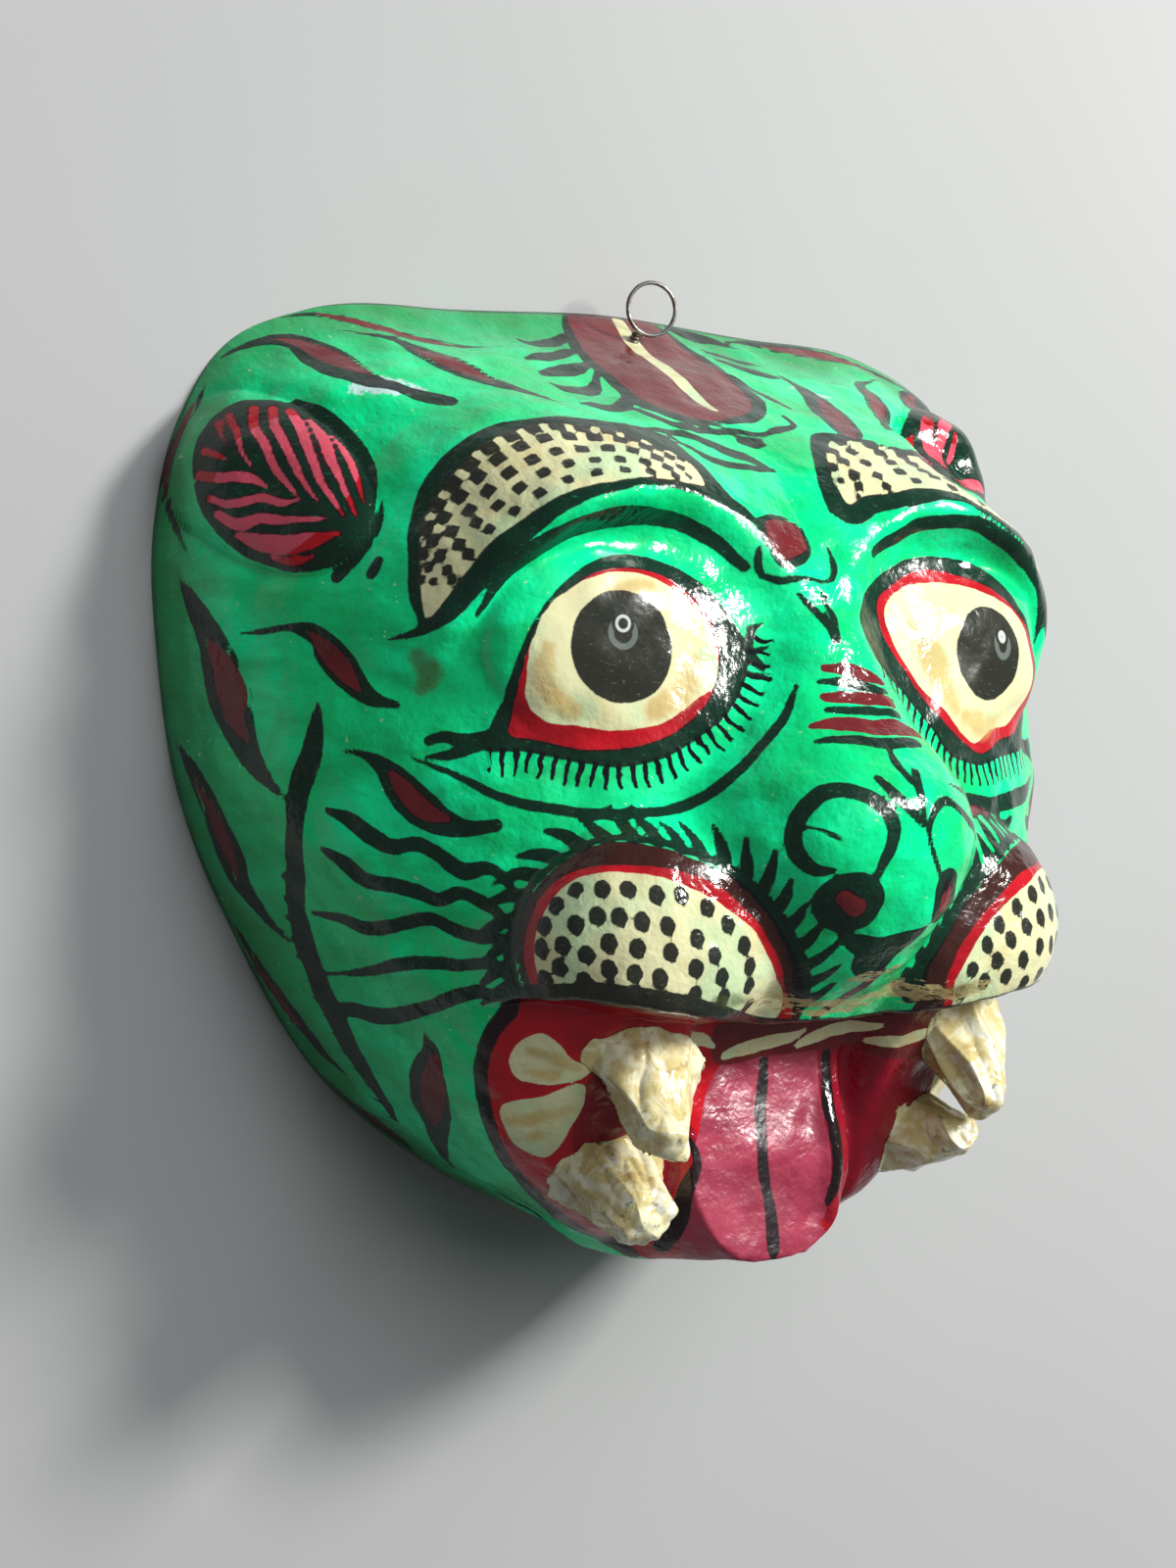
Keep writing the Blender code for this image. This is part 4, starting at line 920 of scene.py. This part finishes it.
lash_run = np.full(len(skin), -NO_LASH)
lash_out = np.full(len(skin), NO_LASH)
for line in ([(-21, 50, 89), (-23, 44, 91), (-25, 37, 92), (-30, 30, 93), (-39, 23, 92),
              (-49, 18, 91), (-58, 16, 88), (-69, 17, 84), (-79, 19, 78), (-86, 19, 73)],
             [(12, 44, 97), (21, 37, 94), (32, 28, 93), (42, 20, 92), (56, 17, 89), (68, 19, 84),
              (79, 20, 77), (86, 22, 74)]):
    some, run, away = lash_marks(line)
    away = away if line[0][0] < 0 else -away
    closer = np.abs(away) < np.abs(lash_out[some])
    lash_run[some[closer]] = run[closer]
    lash_out[some[closer]] = away[closer]


def add(tree, kind, put=None, **settings):
    """Adds a node, with its settings, and with values or other nodes' outputs on its inputs."""
    node = tree.nodes.new("ShaderNode" + kind)
    for key, value in settings.items():
        setattr(node, key, value)
    for key, value in (put or {}).items():
        if isinstance(value, bpy.types.NodeSocket):
            tree.links.new(value, node.inputs[key])
        else:
            node.inputs[key].default_value = value
    return node


def calc(tree, job, a, b=0.0):
    """One sum on two values."""
    return add(tree, "Math", {0: a, 1: b}, operation=job).outputs[0]


def fade(tree, value, low, high, start=1.0, end=0.0):
    """Smooth change from start at low to end at high."""
    put = {0: value, 1: low, 2: high, 3: start, 4: end}
    return add(tree, "MapRange", put, interpolation_type="SMOOTHSTEP").outputs[0]


def blend(tree, share, a, b):
    """Colour b laid over colour a by a share."""
    return add(tree, "Mix", {0: share, 6: a, 7: b}, data_type="RGBA").outputs[2]


def noise(tree, place, scale, detail=2.0, rough=0.5, warp=0.0):
    """Cloudy value from 0 to 1."""
    put = {"Vector": place, "Scale": scale, "Detail": detail, "Roughness": rough, "Distortion": warp}
    return add(tree, "TexNoise", put).outputs[0]


def new_material(name):
    """Empty material, its node tree and its shader."""
    material = bpy.data.materials.new(name)
    material.use_nodes = True
    return material, material.node_tree, material.node_tree.nodes["Principled BSDF"]


def in_mm(tree, stretch=(1000, 1000, 1000)):
    """Object coordinates in millimetres, or stretched so that a pattern is drawn out."""
    place = add(tree, "TexCoord").outputs["Object"]
    return add(tree, "VectorMath", {0: place, 1: stretch}, operation="MULTIPLY").outputs[0]


# Green enamel, cloudy and brushed, darkened towards the rim as painted shade, with the figures' colours
# over it in the order in which the painter laid them, a darker red among them as painted shade in the
# mouth, worn and yellowed spots and a patch of painted shade on top, and bare pasted paper on the inside.
GREEN, LIGHT_GREEN, DEEP_GREEN = (0.0, 0.52, 0.16, 1), (0.0, 0.74, 0.30, 1), (0.0, 0.35, 0.09, 1)
RIM_SHADE_GREEN, FLECK_GREEN = (0.012, 0.15, 0.028, 1), (0.45, 0.62, 0.30, 1)
# The darker red of the mouth is painted shade on its red paint.
BARE_GROUND, SHADED_RED, BROWN = (0.50, 0.62, 0.66, 1), (0.20, 0.004, 0.014, 1), (0.035, 0.010, 0.008, 1)
PINK, INK, OCHRE = (0.50, 0.065, 0.10, 1), (0.003, 0.005, 0.006, 1), (0.46, 0.31, 0.095, 1)
CREAM, YELLOW_CREAM, GREEN_CREAM = (0.58, 0.57, 0.33, 1), (0.46, 0.35, 0.13, 1), (0.40, 0.56, 0.33, 1)
DARK_ROSE, ROSE = (0.21, 0.018, 0.040, 1), (0.31, 0.036, 0.068, 1)
DARK_WINE, WINE = (0.08, 0.011, 0.012, 1), (0.155, 0.013, 0.017, 1)
RED, DARK_RED = (0.40, 0.005, 0.012, 1), (0.27, 0.005, 0.010, 1)
SMEAR, OLIVE = (0.40, 0.31, 0.14, 1), (0.06, 0.075, 0.02, 1)
GLINT, DIM_GLINT = (0.42, 0.45, 0.43, 1), (0.10, 0.12, 0.11, 1)
DARK_PAPER, PAPER, PALE_PAPER = (0.19, 0.15, 0.095, 1), (0.42, 0.36, 0.25, 1), (0.50, 0.46, 0.36, 1)
LASH_HALF_GAP, LASH_LONG = 1.55, 6.8
PUPIL_GLINTS = ((-58.3, 33.8, 87.0), (64.0, 33.6, 85.0))    # y from the whole piece's middle
HOOP_RADIUS, CRESCENT_RADIUS, CRESCENT_DROP = 1.7, 3.2, 2.2

painted, tree, surface = new_material("painted_paper")
mm = in_mm(tree)
drag = in_mm(tree, (420, 1000, 260))
wobble = calc(tree, "SUBTRACT", noise(tree, mm, 0.3, 2), 0.5)
ragged = calc(tree, "SUBTRACT", noise(tree, mm, 1.7, 2), 0.5)
edge = calc(tree, "ADD", calc(tree, "MULTIPLY", wobble, 0.7), calc(tree, "MULTIPLY", ragged, 0.25))
cloud = noise(tree, mm, 0.035, 4, 0.55, 0.6)
brushing = noise(tree, drag, 0.12, 4, 0.6)
low = add(tree, "SeparateXYZ", {0: mm}).outputs[2]
colour = blend(tree, fade(tree, cloud, 0.34, 0.66, 0, 1), GREEN, LIGHT_GREEN)
colour = blend(tree, fade(tree, brushing, 0.42, 0.72, 0, 0.7), colour, DEEP_GREEN)
# Painted shade: the green darkens towards the rim, low on the face, where its sides turn away from the
# light.
under = calc(tree, "ADD", low, calc(tree, "MULTIPLY", noise(tree, mm, 0.05, 3), 26))
colour = blend(tree, fade(tree, under, 14, 42, 0.75, 0), colour, RIM_SHADE_GREEN)
fleck = fade(tree, noise(tree, mm, 0.55, 1), 0.76, 0.79, 0, 0.6)
colour = blend(tree, fleck, colour, FLECK_GREEN)
field = {key: add(tree, "Attribute", attribute_name=key).outputs["Fac"]
         for key in (*COLOURS, "lash_run", "lash_out", "outside")}


def shape_of(key, soft=0.16):
    """Where a painted figure lies, with a hand-brushed edge."""
    return fade(tree, calc(tree, "ADD", field[key], edge), -soft, soft)


worn = calc(tree, "ADD", field["chalk"], calc(tree, "MULTIPLY", noise(tree, mm, 0.5, 4, 0.7), 9))
colour = blend(tree, fade(tree, worn, 3.6, 4.6, 0.85, 0), colour, BARE_GROUND)
patchy = noise(tree, mm, 0.09, 3, 0.6)
cream = blend(tree, fade(tree, patchy, 0.48, 0.72, 0, 0.45), CREAM, YELLOW_CREAM)
tint = noise(tree, in_mm(tree, (1000, 700, 1000)), 0.07, 2)
cream = blend(tree, fade(tree, tint, 0.47, 0.66, 0, 0.75), cream, GREEN_CREAM)
rose = blend(tree, fade(tree, brushing, 0.35, 0.65, 0, 1), DARK_ROSE, ROSE)
wine = blend(tree, patchy, DARK_WINE, WINE)
red = blend(tree, fade(tree, brushing, 0.4, 0.7, 0, 1), RED, DARK_RED)
grain = noise(tree, in_mm(tree, (260, 1500, 600)), 0.55, 3, 0.7)
dry = calc(tree, "ADD", field["smear"], fade(tree, grain, 0.30, 0.64, 3.6, -0.8))
for key, paint_colour in (("red", red), ("shaded_red", SHADED_RED), ("wine", wine), ("brown", BROWN),
                          ("pink", PINK), ("cream", cream), ("rose", rose)):
    colour = blend(tree, shape_of(key), colour, paint_colour)
# Ochre: varnish yellowed on the eyeballs, and in the painted teeth brown streaks with painted shade of
# their folds.
aged_and_fold_shade = calc(tree, "ADD", field["ochre"], calc(tree, "MULTIPLY", noise(tree, mm, 0.16, 3, 0.6), 6))
colour = blend(tree, fade(tree, aged_and_fold_shade, 1.5, 5.5, 0.75, 0), colour, OCHRE)
streak = fade(tree, noise(tree, in_mm(tree, (900, 2600, 900)), 0.5, 3, 0.7), 0.60, 0.80, 0.97, 0.72)
black_area = calc(tree, "MULTIPLY", shape_of("black", 0.2), streak)
colour = blend(tree, black_area, colour, INK)
tick = calc(tree, "ADD", field["lash_run"], calc(tree, "MULTIPLY", wobble, 2.2))
tick = calc(tree, "PINGPONG", tick, LASH_HALF_GAP)
tick = calc(tree, "ADD", tick, calc(tree, "MULTIPLY", field["lash_out"], 0.06))
span = calc(tree, "ADD", field["lash_out"], calc(tree, "MULTIPLY", noise(tree, mm, 0.25, 0), 3))
lash = calc(tree, "MULTIPLY", fade(tree, tick, 0.62, 0.85),
            fade(tree, span, LASH_LONG, LASH_LONG + 0.5))
lash = calc(tree, "MULTIPLY", lash, fade(tree, field["lash_run"], 0.5, 1.5, 0, 1))
lash = calc(tree, "MULTIPLY", lash, fade(tree, field["lash_out"], -1.2, -0.6, 0, 1))
colour = blend(tree, lash, colour, INK)
colour = blend(tree, fade(tree, dry, 0, 0.6, 0.8, 0), colour, SMEAR)
# Olive paint, which beside the left brow also stands as painted shade for a dimple that the skin doesn't
# have.
olive_paint_and_shade = calc(tree, "ADD", field["olive"], calc(tree, "MULTIPLY", wobble, 3))
colour = blend(tree, fade(tree, olive_paint_and_shade, -1.5, 1.2, 0.75, 0), colour, OLIVE)
calm = 1.0
for spot in PUPIL_GLINTS:
    away = add(tree, "VectorMath", {0: mm, 1: spot}, operation="DISTANCE").outputs["Value"]
    hoop = calc(tree, "ABSOLUTE", calc(tree, "SUBTRACT", away, HOOP_RADIUS))
    drop = add(tree, "VectorMath", {0: mm, 1: (0, CRESCENT_DROP, 0)}, operation="ADD").outputs[0]
    beneath = add(tree, "VectorMath", {0: drop, 1: spot}, operation="DISTANCE").outputs["Value"]
    crescent = calc(tree, "ABSOLUTE", calc(tree, "SUBTRACT", beneath, CRESCENT_RADIUS))
    crescent = calc(tree, "MULTIPLY", fade(tree, crescent, 0.6, 0.9), fade(tree, away, 2.8, 3.2, 0, 1))
    calm = calc(tree, "MULTIPLY", calm, fade(tree, away, 16, 26, 0.35, 1))
    colour = blend(tree, fade(tree, hoop, 0.28, 0.5), colour, GLINT)
    colour = blend(tree, crescent, colour, DIM_GLINT)
paper = blend(tree, noise(tree, mm, 0.08, 4, 0.7), DARK_PAPER, PAPER)
scrap = add(tree, "TexVoronoi", {"Vector": in_mm(tree, (1000, 760, 1000)), "Scale": 0.035})
paper = blend(tree, calc(tree, "MULTIPLY", scrap.outputs["Distance"], 0.5), paper, PALE_PAPER)
skin_share = calc(tree, "ADD", field["outside"], calc(tree, "MULTIPLY", wobble, 0.7))
skin_share = fade(tree, skin_share, 0.45, 0.62, 0, 1)
colour = blend(tree, skin_share, paper, colour)
tree.links.new(colour, surface.inputs["Base Color"])
gloss = fade(tree, noise(tree, mm, 0.06, 3), 0.35, 0.7, 0.12, 0.28)
gloss = calc(tree, "ADD", gloss, calc(tree, "MULTIPLY", black_area, 0.02))
gloss = calc(tree, "ADD", gloss, calc(tree, "MULTIPLY", shape_of("rose"), 0.15))
dull = add(tree, "Mix", {0: skin_share, 2: 0.85, 3: gloss}, data_type="FLOAT").outputs[0]
tree.links.new(dull, surface.inputs["Roughness"])
surface.inputs["Specular IOR Level"].default_value = 0.5
wrinkle = calc(tree, "MULTIPLY", noise(tree, mm, 0.10, 3, 0.55), 1.3)
wrinkle = calc(tree, "ADD", wrinkle, calc(tree, "MULTIPLY", noise(tree, mm, 0.42, 3, 0.6, 0.8), 0.24))
wrinkle = calc(tree, "ADD", calc(tree, "MULTIPLY", wrinkle, calm), calc(tree, "MULTIPLY", black_area, 0.04))
bump = add(tree, "Bump", {"Height": wrinkle, "Strength": 0.8, "Distance": 0.001})
tree.links.new(bump.outputs[0], surface.inputs["Normal"])

inside_count = len(shell_points) - len(skin)
values = {key: np.r_[value, np.full(inside_count, FAR)] for key, value in paint.items()}
values["lash_run"] = np.r_[lash_run, np.full(inside_count, -NO_LASH)]
values["lash_out"] = np.r_[lash_out, np.full(inside_count, NO_LASH)]
values["outside"] = np.r_[np.ones(len(skin)), np.zeros(inside_count)]
shell = add_piece("tiger_mask", shell_points, shell_faces, "mask_shell", values)
shell.data.materials.append(painted)

# ================================================================ fangs
# Four fangs rolled from pasted paper, crumpled while wet, glued by their open ends inside the
# mouth and painted cream.  Their folds have gone brown under a thick varnish, and carry painted shade as
# well.
FANG_ROUND = 144            # points round a fang
LOOSE_EDGE = 0.8            # how far the sheet's loose edge stands off the turn beneath it
TORN_DEEP = 2.2             # depth of the tears in the open end
PRESSED = 0.15              # how far the open end stands on the skin


def fang(node, base, tip, wide, deep, blunt, flare, slant, seam, seed):
    """Rolled cone: its half widths fall from wide and deep at the base to blunt at the tip as
    (1 - t)**flare, a loose edge of paper winds round it, and folds |lumps| crumple it.  What
    would lie under the skin is pressed onto it."""
    base, tip = np.array(base, float), np.array(tip, float)
    long = np.linalg.norm(tip - base)
    axis = (tip - base) / long
    across = np.cross(axis, (0, 0.35, 1))
    across /= np.linalg.norm(across)
    bend = np.linspace(0, pi / 2, 24)[1:-1]
    mouth = np.linspace(0.1, 1, 12)[:-1]
    t = np.r_[0.10 * (1 - mouth), np.linspace(0, 0.86, 70), 0.86 + 0.14 * np.sin(bend)][:, None]
    share = np.r_[mouth, np.ones(70), np.cos(bend)**0.75][:, None]
    a = np.linspace(0, 2 * pi, FANG_ROUND, endpoint=False)[None]
    wrap = ((a - seam - 0.9 * t) / (2 * pi)) % 1 - 0.5
    torn = (np.sin(3 * a + seed) + 0.6 * np.sin(7 * a + 2 * seed) + 0.4 * np.sin(13 * a + 3 * seed)) / 2
    rx = (blunt + (wide - blunt) * (1 - t)**flare + LOOSE_EDGE * wrap) * share
    rz = (0.9 * blunt + (deep - 0.9 * blunt) * (1 - t)**flare + LOOSE_EDGE * wrap) * share
    side = np.stack([np.cos(a) * rx, np.sin(a) * rz], -1)
    reach = t * long + TORN_DEEP * torn * (1 - t)**5 * share + slant * side[..., 0] * t**3
    p = base + reach[..., None] * axis + side[..., :1] * across + side[..., 1:] * np.cross(axis, across)
    p = np.concatenate([np.tile(base + 0.10 * long * axis, (1, FANG_ROUND, 1)), p])
    drawn = p - 0.72 * ((p - base) @ axis)[..., None] * axis
    big, small = lumps(drawn, 12, seed), lumps(drawn, 6, seed + 20)
    way = grid_normals(p)
    spread = np.r_[0, share.ravel()][:, None]
    fold = (1.5 * np.abs(big) - 0.5 * np.abs(small) - 0.3) * np.minimum(spread * 1.4, 1)
    p = p - way * fold[..., None] * np.sign((way * (p - base)).sum())
    p = np.concatenate([p[0, :1], p[1:].reshape(-1, 3), [p[-1].mean(0) + 0.2 * axis]])
    foot, out = settle(p)
    sunk = ((p - foot) * out).sum(1) < PRESSED
    p = np.where(sunk[:, None], foot + PRESSED * out + 0.01 * (p - foot), p)
    count = len(t)
    ring = 1 + np.arange(count * FANG_ROUND).reshape(count, FANG_ROUND)
    after = np.roll(ring, -1, axis=1)
    faces = np.concatenate([
        np.stack([np.zeros(FANG_ROUND, int), after[0], ring[0]], -1),
        np.stack([ring[:-1], after[:-1], after[1:]], -1).reshape(-1, 3),
        np.stack([ring[:-1], after[1:], ring[1:]], -1).reshape(-1, 3),
        np.stack([ring[-1], after[-1], np.full(FANG_ROUND, len(p) - 1)], -1)])
    first, second, third = p[faces].transpose(1, 0, 2)
    if (first * np.cross(second, third)).sum() < 0:
        faces = faces[:, ::-1]
    crease = np.r_[0.5, np.minimum(np.abs(big), np.abs(small) + 0.15)[1:].ravel(), 0.5]
    toward_tip = np.r_[0, np.repeat(t, FANG_ROUND), 1]
    item = add_piece("paper_" + node, p, faces, node,
                     {"crease": crease, "toward_tip": toward_tip})
    item.data.materials.append(fang_paint)


# Cream paint gone ochre and brown in clouds, brown and dark with painted shade in the folds, chalky in
# places and grey with handling towards the tip.
FANG_CREAM, FANG_OCHRE, FANG_BROWN = (0.66, 0.63, 0.42, 1), (0.50, 0.42, 0.19, 1), (0.28, 0.17, 0.055, 1)
FOLD_BROWN_AND_SHADE, CHALKY, GREY = (0.24, 0.16, 0.07, 1), (0.66, 0.68, 0.60, 1), (0.12, 0.13, 0.11, 1)
fang_paint, tree, surface = new_material("cream_paper")
mm = in_mm(tree)
crease = add(tree, "Attribute", attribute_name="crease").outputs["Fac"]
toward = add(tree, "Attribute", attribute_name="toward_tip").outputs["Fac"]
cloud = noise(tree, mm, 0.13, 4, 0.6, 0.8)
fine = noise(tree, mm, 0.55, 3, 0.6, 0.5)
colour = blend(tree, fade(tree, cloud, 0.40, 0.58, 0, 1), FANG_CREAM, FANG_OCHRE)
stained = fade(tree, noise(tree, mm, 0.10, 3, 0.6), 0.54, 0.70, 0, 0.7)
colour = blend(tree, stained, colour, FANG_BROWN)
# Browner and darker along the folds: the brown in them, and painted shade.
folds_brown_and_shade = calc(tree, "ADD", crease, calc(tree, "MULTIPLY", fine, 0.25))
colour = blend(tree, fade(tree, folds_brown_and_shade, 0.12, 0.20, 0.5, 0), colour, FOLD_BROWN_AND_SHADE)
pale = fade(tree, noise(tree, mm, 0.17, 2, 0.5), 0.58, 0.68, 0, 0.7)
colour = blend(tree, pale, colour, CHALKY)
grey = calc(tree, "MULTIPLY", fade(tree, noise(tree, mm, 0.38, 3, 0.7), 0.60, 0.66, 0, 0.7),
            fade(tree, toward, 0.55, 0.85, 0, 1))
colour = blend(tree, grey, colour, GREY)
tree.links.new(colour, surface.inputs["Base Color"])
tree.links.new(fade(tree, fine, 0.35, 0.65, 0.14, 0.30), surface.inputs["Roughness"])
wrinkle = calc(tree, "ADD", calc(tree, "MULTIPLY", noise(tree, mm, 0.16, 2, 0.5, 0.6), 1.1),
               calc(tree, "MULTIPLY", fine, 0.12))
bump = add(tree, "Bump", {"Height": wrinkle, "Strength": 0.6, "Distance": 0.001})
tree.links.new(bump.outputs[0], surface.inputs["Normal"])

# Each fang's base and tip, half widths across and in depth, half width of the tip, flare,
# slant of the tip, where the loose edge lies, and the seed of the folds.
fang("fang_upper_left", (-42.5, -52.5, 79), (-50, -73.5, 99), 17.5, 10, 6.2, 1.7, -0.4, 0.4, 3)
fang("fang_upper_right", (58, -48, 79), (56, -69, 98), 14.5, 11, 5.4, 0.9, 0.1, 2.1, 5)
fang("fang_lower_left", (-41, -81, 63), (-49, -91, 93), 13.5, 12, 6.4, 0.7, 0.15, 1.3, 8)
fang("fang_lower_right", (52, -77, 61), (55, -78, 91), 13.5, 12.5, 4.8, 0.8, 0.1, 3.0, 11)

# ================================================================ hanging ring
# Round iron wire, pushed through the forehead before the last layer of paper, bent into a
# ring over the top edge and wound back round its own foot; the mask hangs from it.
RING_RADIUS, RING_WIRE = 6.8, 0.55
RING_CENTRE = np.array([4.4, 131.2, 14.4])
RING_TURN = radians(12)     # how far the ring is turned out of the wall's plane
STUB_FOOT = np.array([0.4, 121.6, 11.0])
STUB_SUNK, STUB_ABOVE = 1.2, 0.4
COIL_TURNS, COIL_REACH, COIL_WIRE = 3.2, 0.98, 0.48
WIRE_SIDES = 16


def tube(path, side, radius, closed, first):
    """Round wire along a path: a circle of the radius, carried square to the path, with a unit
    vector across the path at each point to start from.  Gives points and faces."""
    way = np.gradient(path, axis=0)
    if closed:
        way = np.roll(path, -1, axis=0) - np.roll(path, 1, axis=0)
    way = way / np.linalg.norm(way, axis=1, keepdims=True)
    other = np.cross(way, side)
    other /= np.linalg.norm(other, axis=1, keepdims=True)
    side = np.cross(other, way)
    b = np.linspace(0, 2 * pi, WIRE_SIDES, endpoint=False)[None, :, None]
    p = path[:, None] + radius * (np.cos(b) * side[:, None] + np.sin(b) * other[:, None])
    ring = first + np.arange(len(path) * WIRE_SIDES).reshape(len(path), WIRE_SIDES)
    after = np.roll(ring, -1, axis=1)
    low, low_after, top, top_after = ring[:-1], after[:-1], ring[1:], after[1:]
    if closed:
        low, top = ring, np.roll(ring, -1, axis=0)
        low_after, top_after = after, np.roll(after, -1, axis=0)
    faces = [np.stack([low, low_after, top_after], -1).reshape(-1, 3),
             np.stack([low, top_after, top], -1).reshape(-1, 3)]
    if not closed:
        for end, loop in ((ring[0], (2, 1)), (ring[-1], (1, 2))):
            fan = np.stack([np.full(WIRE_SIDES - 2, end[0]), end[1:-1], end[2:]], -1)
            faces.append(fan[:, [0, *loop]])
    return p.reshape(-1, 3), np.concatenate(faces)


ring_right = np.array([cos(RING_TURN), 0, sin(RING_TURN)])
ring_up = np.array([0.0, 1.0, 0.0])
ring_out = np.cross(ring_right, ring_up)
turn = np.linspace(0, 2 * pi, 120, endpoint=False)[:, None]
spoke = ring_right * np.cos(turn) + ring_up * np.sin(turn)
hoop, hoop_faces = tube(RING_CENTRE + spoke * RING_RADIUS, spoke, RING_WIRE, True, 0)
stub_way = RING_CENTRE - STUB_FOOT
stub_long = np.linalg.norm(stub_way) - RING_RADIUS
stub_way /= np.linalg.norm(stub_way)
stub_side = np.cross(stub_way, ring_out)
stub_side /= np.linalg.norm(stub_side)
rise = np.linspace(-STUB_SUNK, stub_long + STUB_ABOVE, 12)[:, None]
stub, stub_faces = tube(STUB_FOOT + rise * stub_way, np.repeat(stub_side[None], 12, 0),
                        RING_WIRE, False, len(hoop))
wind = np.linspace(0, 2 * pi * COIL_TURNS, 110)[:, None]
around = stub_side * np.cos(wind) + np.cross(stub_way, stub_side) * np.sin(wind)
coil_path = STUB_FOOT + stub_way * (0.5 + (stub_long - 0.6) * wind / wind[-1]) + around * COIL_REACH
coil, coil_faces = tube(coil_path, around, COIL_WIRE, False, len(hoop) + len(stub))
wire_item = add_piece("wire_ring", np.concatenate([hoop, stub, coil]),
                      np.concatenate([hoop_faces, stub_faces, coil_faces]), "hanging_ring")

# Dull bare wire, rusty in patches.
STEEL, RUST = (0.30, 0.30, 0.30, 1), (0.16, 0.13, 0.10, 1)
wire_metal, tree, surface = new_material("steel_wire")
dull = fade(tree, noise(tree, in_mm(tree), 0.5, 3), 0.4, 0.65, 0, 1)
tree.links.new(blend(tree, dull, STEEL, RUST), surface.inputs["Base Color"])
tree.links.new(fade(tree, dull, 0, 1, 0.32, 0.55), surface.inputs["Roughness"])
surface.inputs["Metallic"].default_value = 0.9
wire_item.data.materials.append(wire_metal)

# ================================================================ floor, light and camera
# A pale seamless floor, a broad soft light overhead and a smaller bright one from the
# viewer's upper right, and a camera that looks down on the lying face from its left.
VIEW_TURN, VIEW_DROP = radians(37.5), radians(3.0)
VIEW_FAR, LENS = 0.9159, 80.08
AIM = Vector((0, -0.0081, -0.0004))
FLOOR_GREY, FLOOR_PALE = (0.29, 0.295, 0.295, 1), (0.335, 0.34, 0.34, 1)
FLOOR_HALF = 4              # metres
WINDOW_COLOUR, OVERHEAD_COLOUR = (1.0, 0.98, 0.95), (0.96, 0.98, 1.0)
ROOM_COLOUR, ROOM_STRENGTH = (0.75, 0.78, 0.80, 1), 0.18

floor_mesh = bpy.data.meshes.new("floor")
corners = [(FLOOR_HALF * a, FLOOR_HALF * b, 0) for a, b in ((-1, -1), (1, -1), (1, 1), (-1, 1))]
floor_mesh.from_pydata(corners, [], [(0, 1, 2, 3)])
pale, tree, surface = new_material("pale_floor")
shade = blend(tree, noise(tree, in_mm(tree), 0.004, 2), FLOOR_GREY, FLOOR_PALE)
tree.links.new(shade, surface.inputs["Base Color"])
surface.inputs["Roughness"].default_value = 0.8
floor_mesh.materials.append(pale)
floor = bpy.data.objects.new("floor", floor_mesh)
bpy.context.scene.collection.objects.link(floor)


def light(name, way, far, size, power, colour, shines=True):
    """Square soft light that looks back at the mask from a direction; one that doesn't shine
    isn't mirrored in the varnish."""
    lamp = bpy.data.lights.new(name, "AREA")
    lamp.size = size
    lamp.energy = power
    lamp.color = colour
    item = bpy.data.objects.new(name, lamp)
    way = Vector(way).normalized()
    item.location = way * far + Vector((0, 0, 0.05))
    item.rotation_euler = way.to_track_quat("Z", "Y").to_euler()
    item.visible_glossy = shines
    bpy.context.scene.collection.objects.link(item)


light("window", (0.60, 0.41, 0.67), 1.6, 0.34, 43, WINDOW_COLOUR)
light("overhead", (0.12, 0.45, 1.0), 2.2, 1.8, 38, OVERHEAD_COLOUR, False)

world = bpy.data.worlds.new("room")
world.use_nodes = True
room = world.node_tree.nodes["Background"]
room.inputs["Color"].default_value = ROOM_COLOUR
room.inputs["Strength"].default_value = ROOM_STRENGTH
bpy.context.scene.world = world
bpy.context.scene.view_settings.view_transform = "Standard"

back = Vector((-sin(VIEW_TURN), sin(VIEW_DROP) * cos(VIEW_TURN), cos(VIEW_DROP) * cos(VIEW_TURN)))
up = Vector((0, cos(VIEW_DROP), -sin(VIEW_DROP)))
right = up.cross(back)
lens = bpy.data.cameras.new("camera")
lens.lens = LENS
lens.sensor_width = 36
camera = bpy.data.objects.new("camera", lens)
facing = Matrix((right, up, back)).transposed().to_4x4()
camera.matrix_world = Matrix.Translation(AIM + back * VIEW_FAR) @ facing
bpy.context.scene.collection.objects.link(camera)
bpy.context.scene.camera = camera
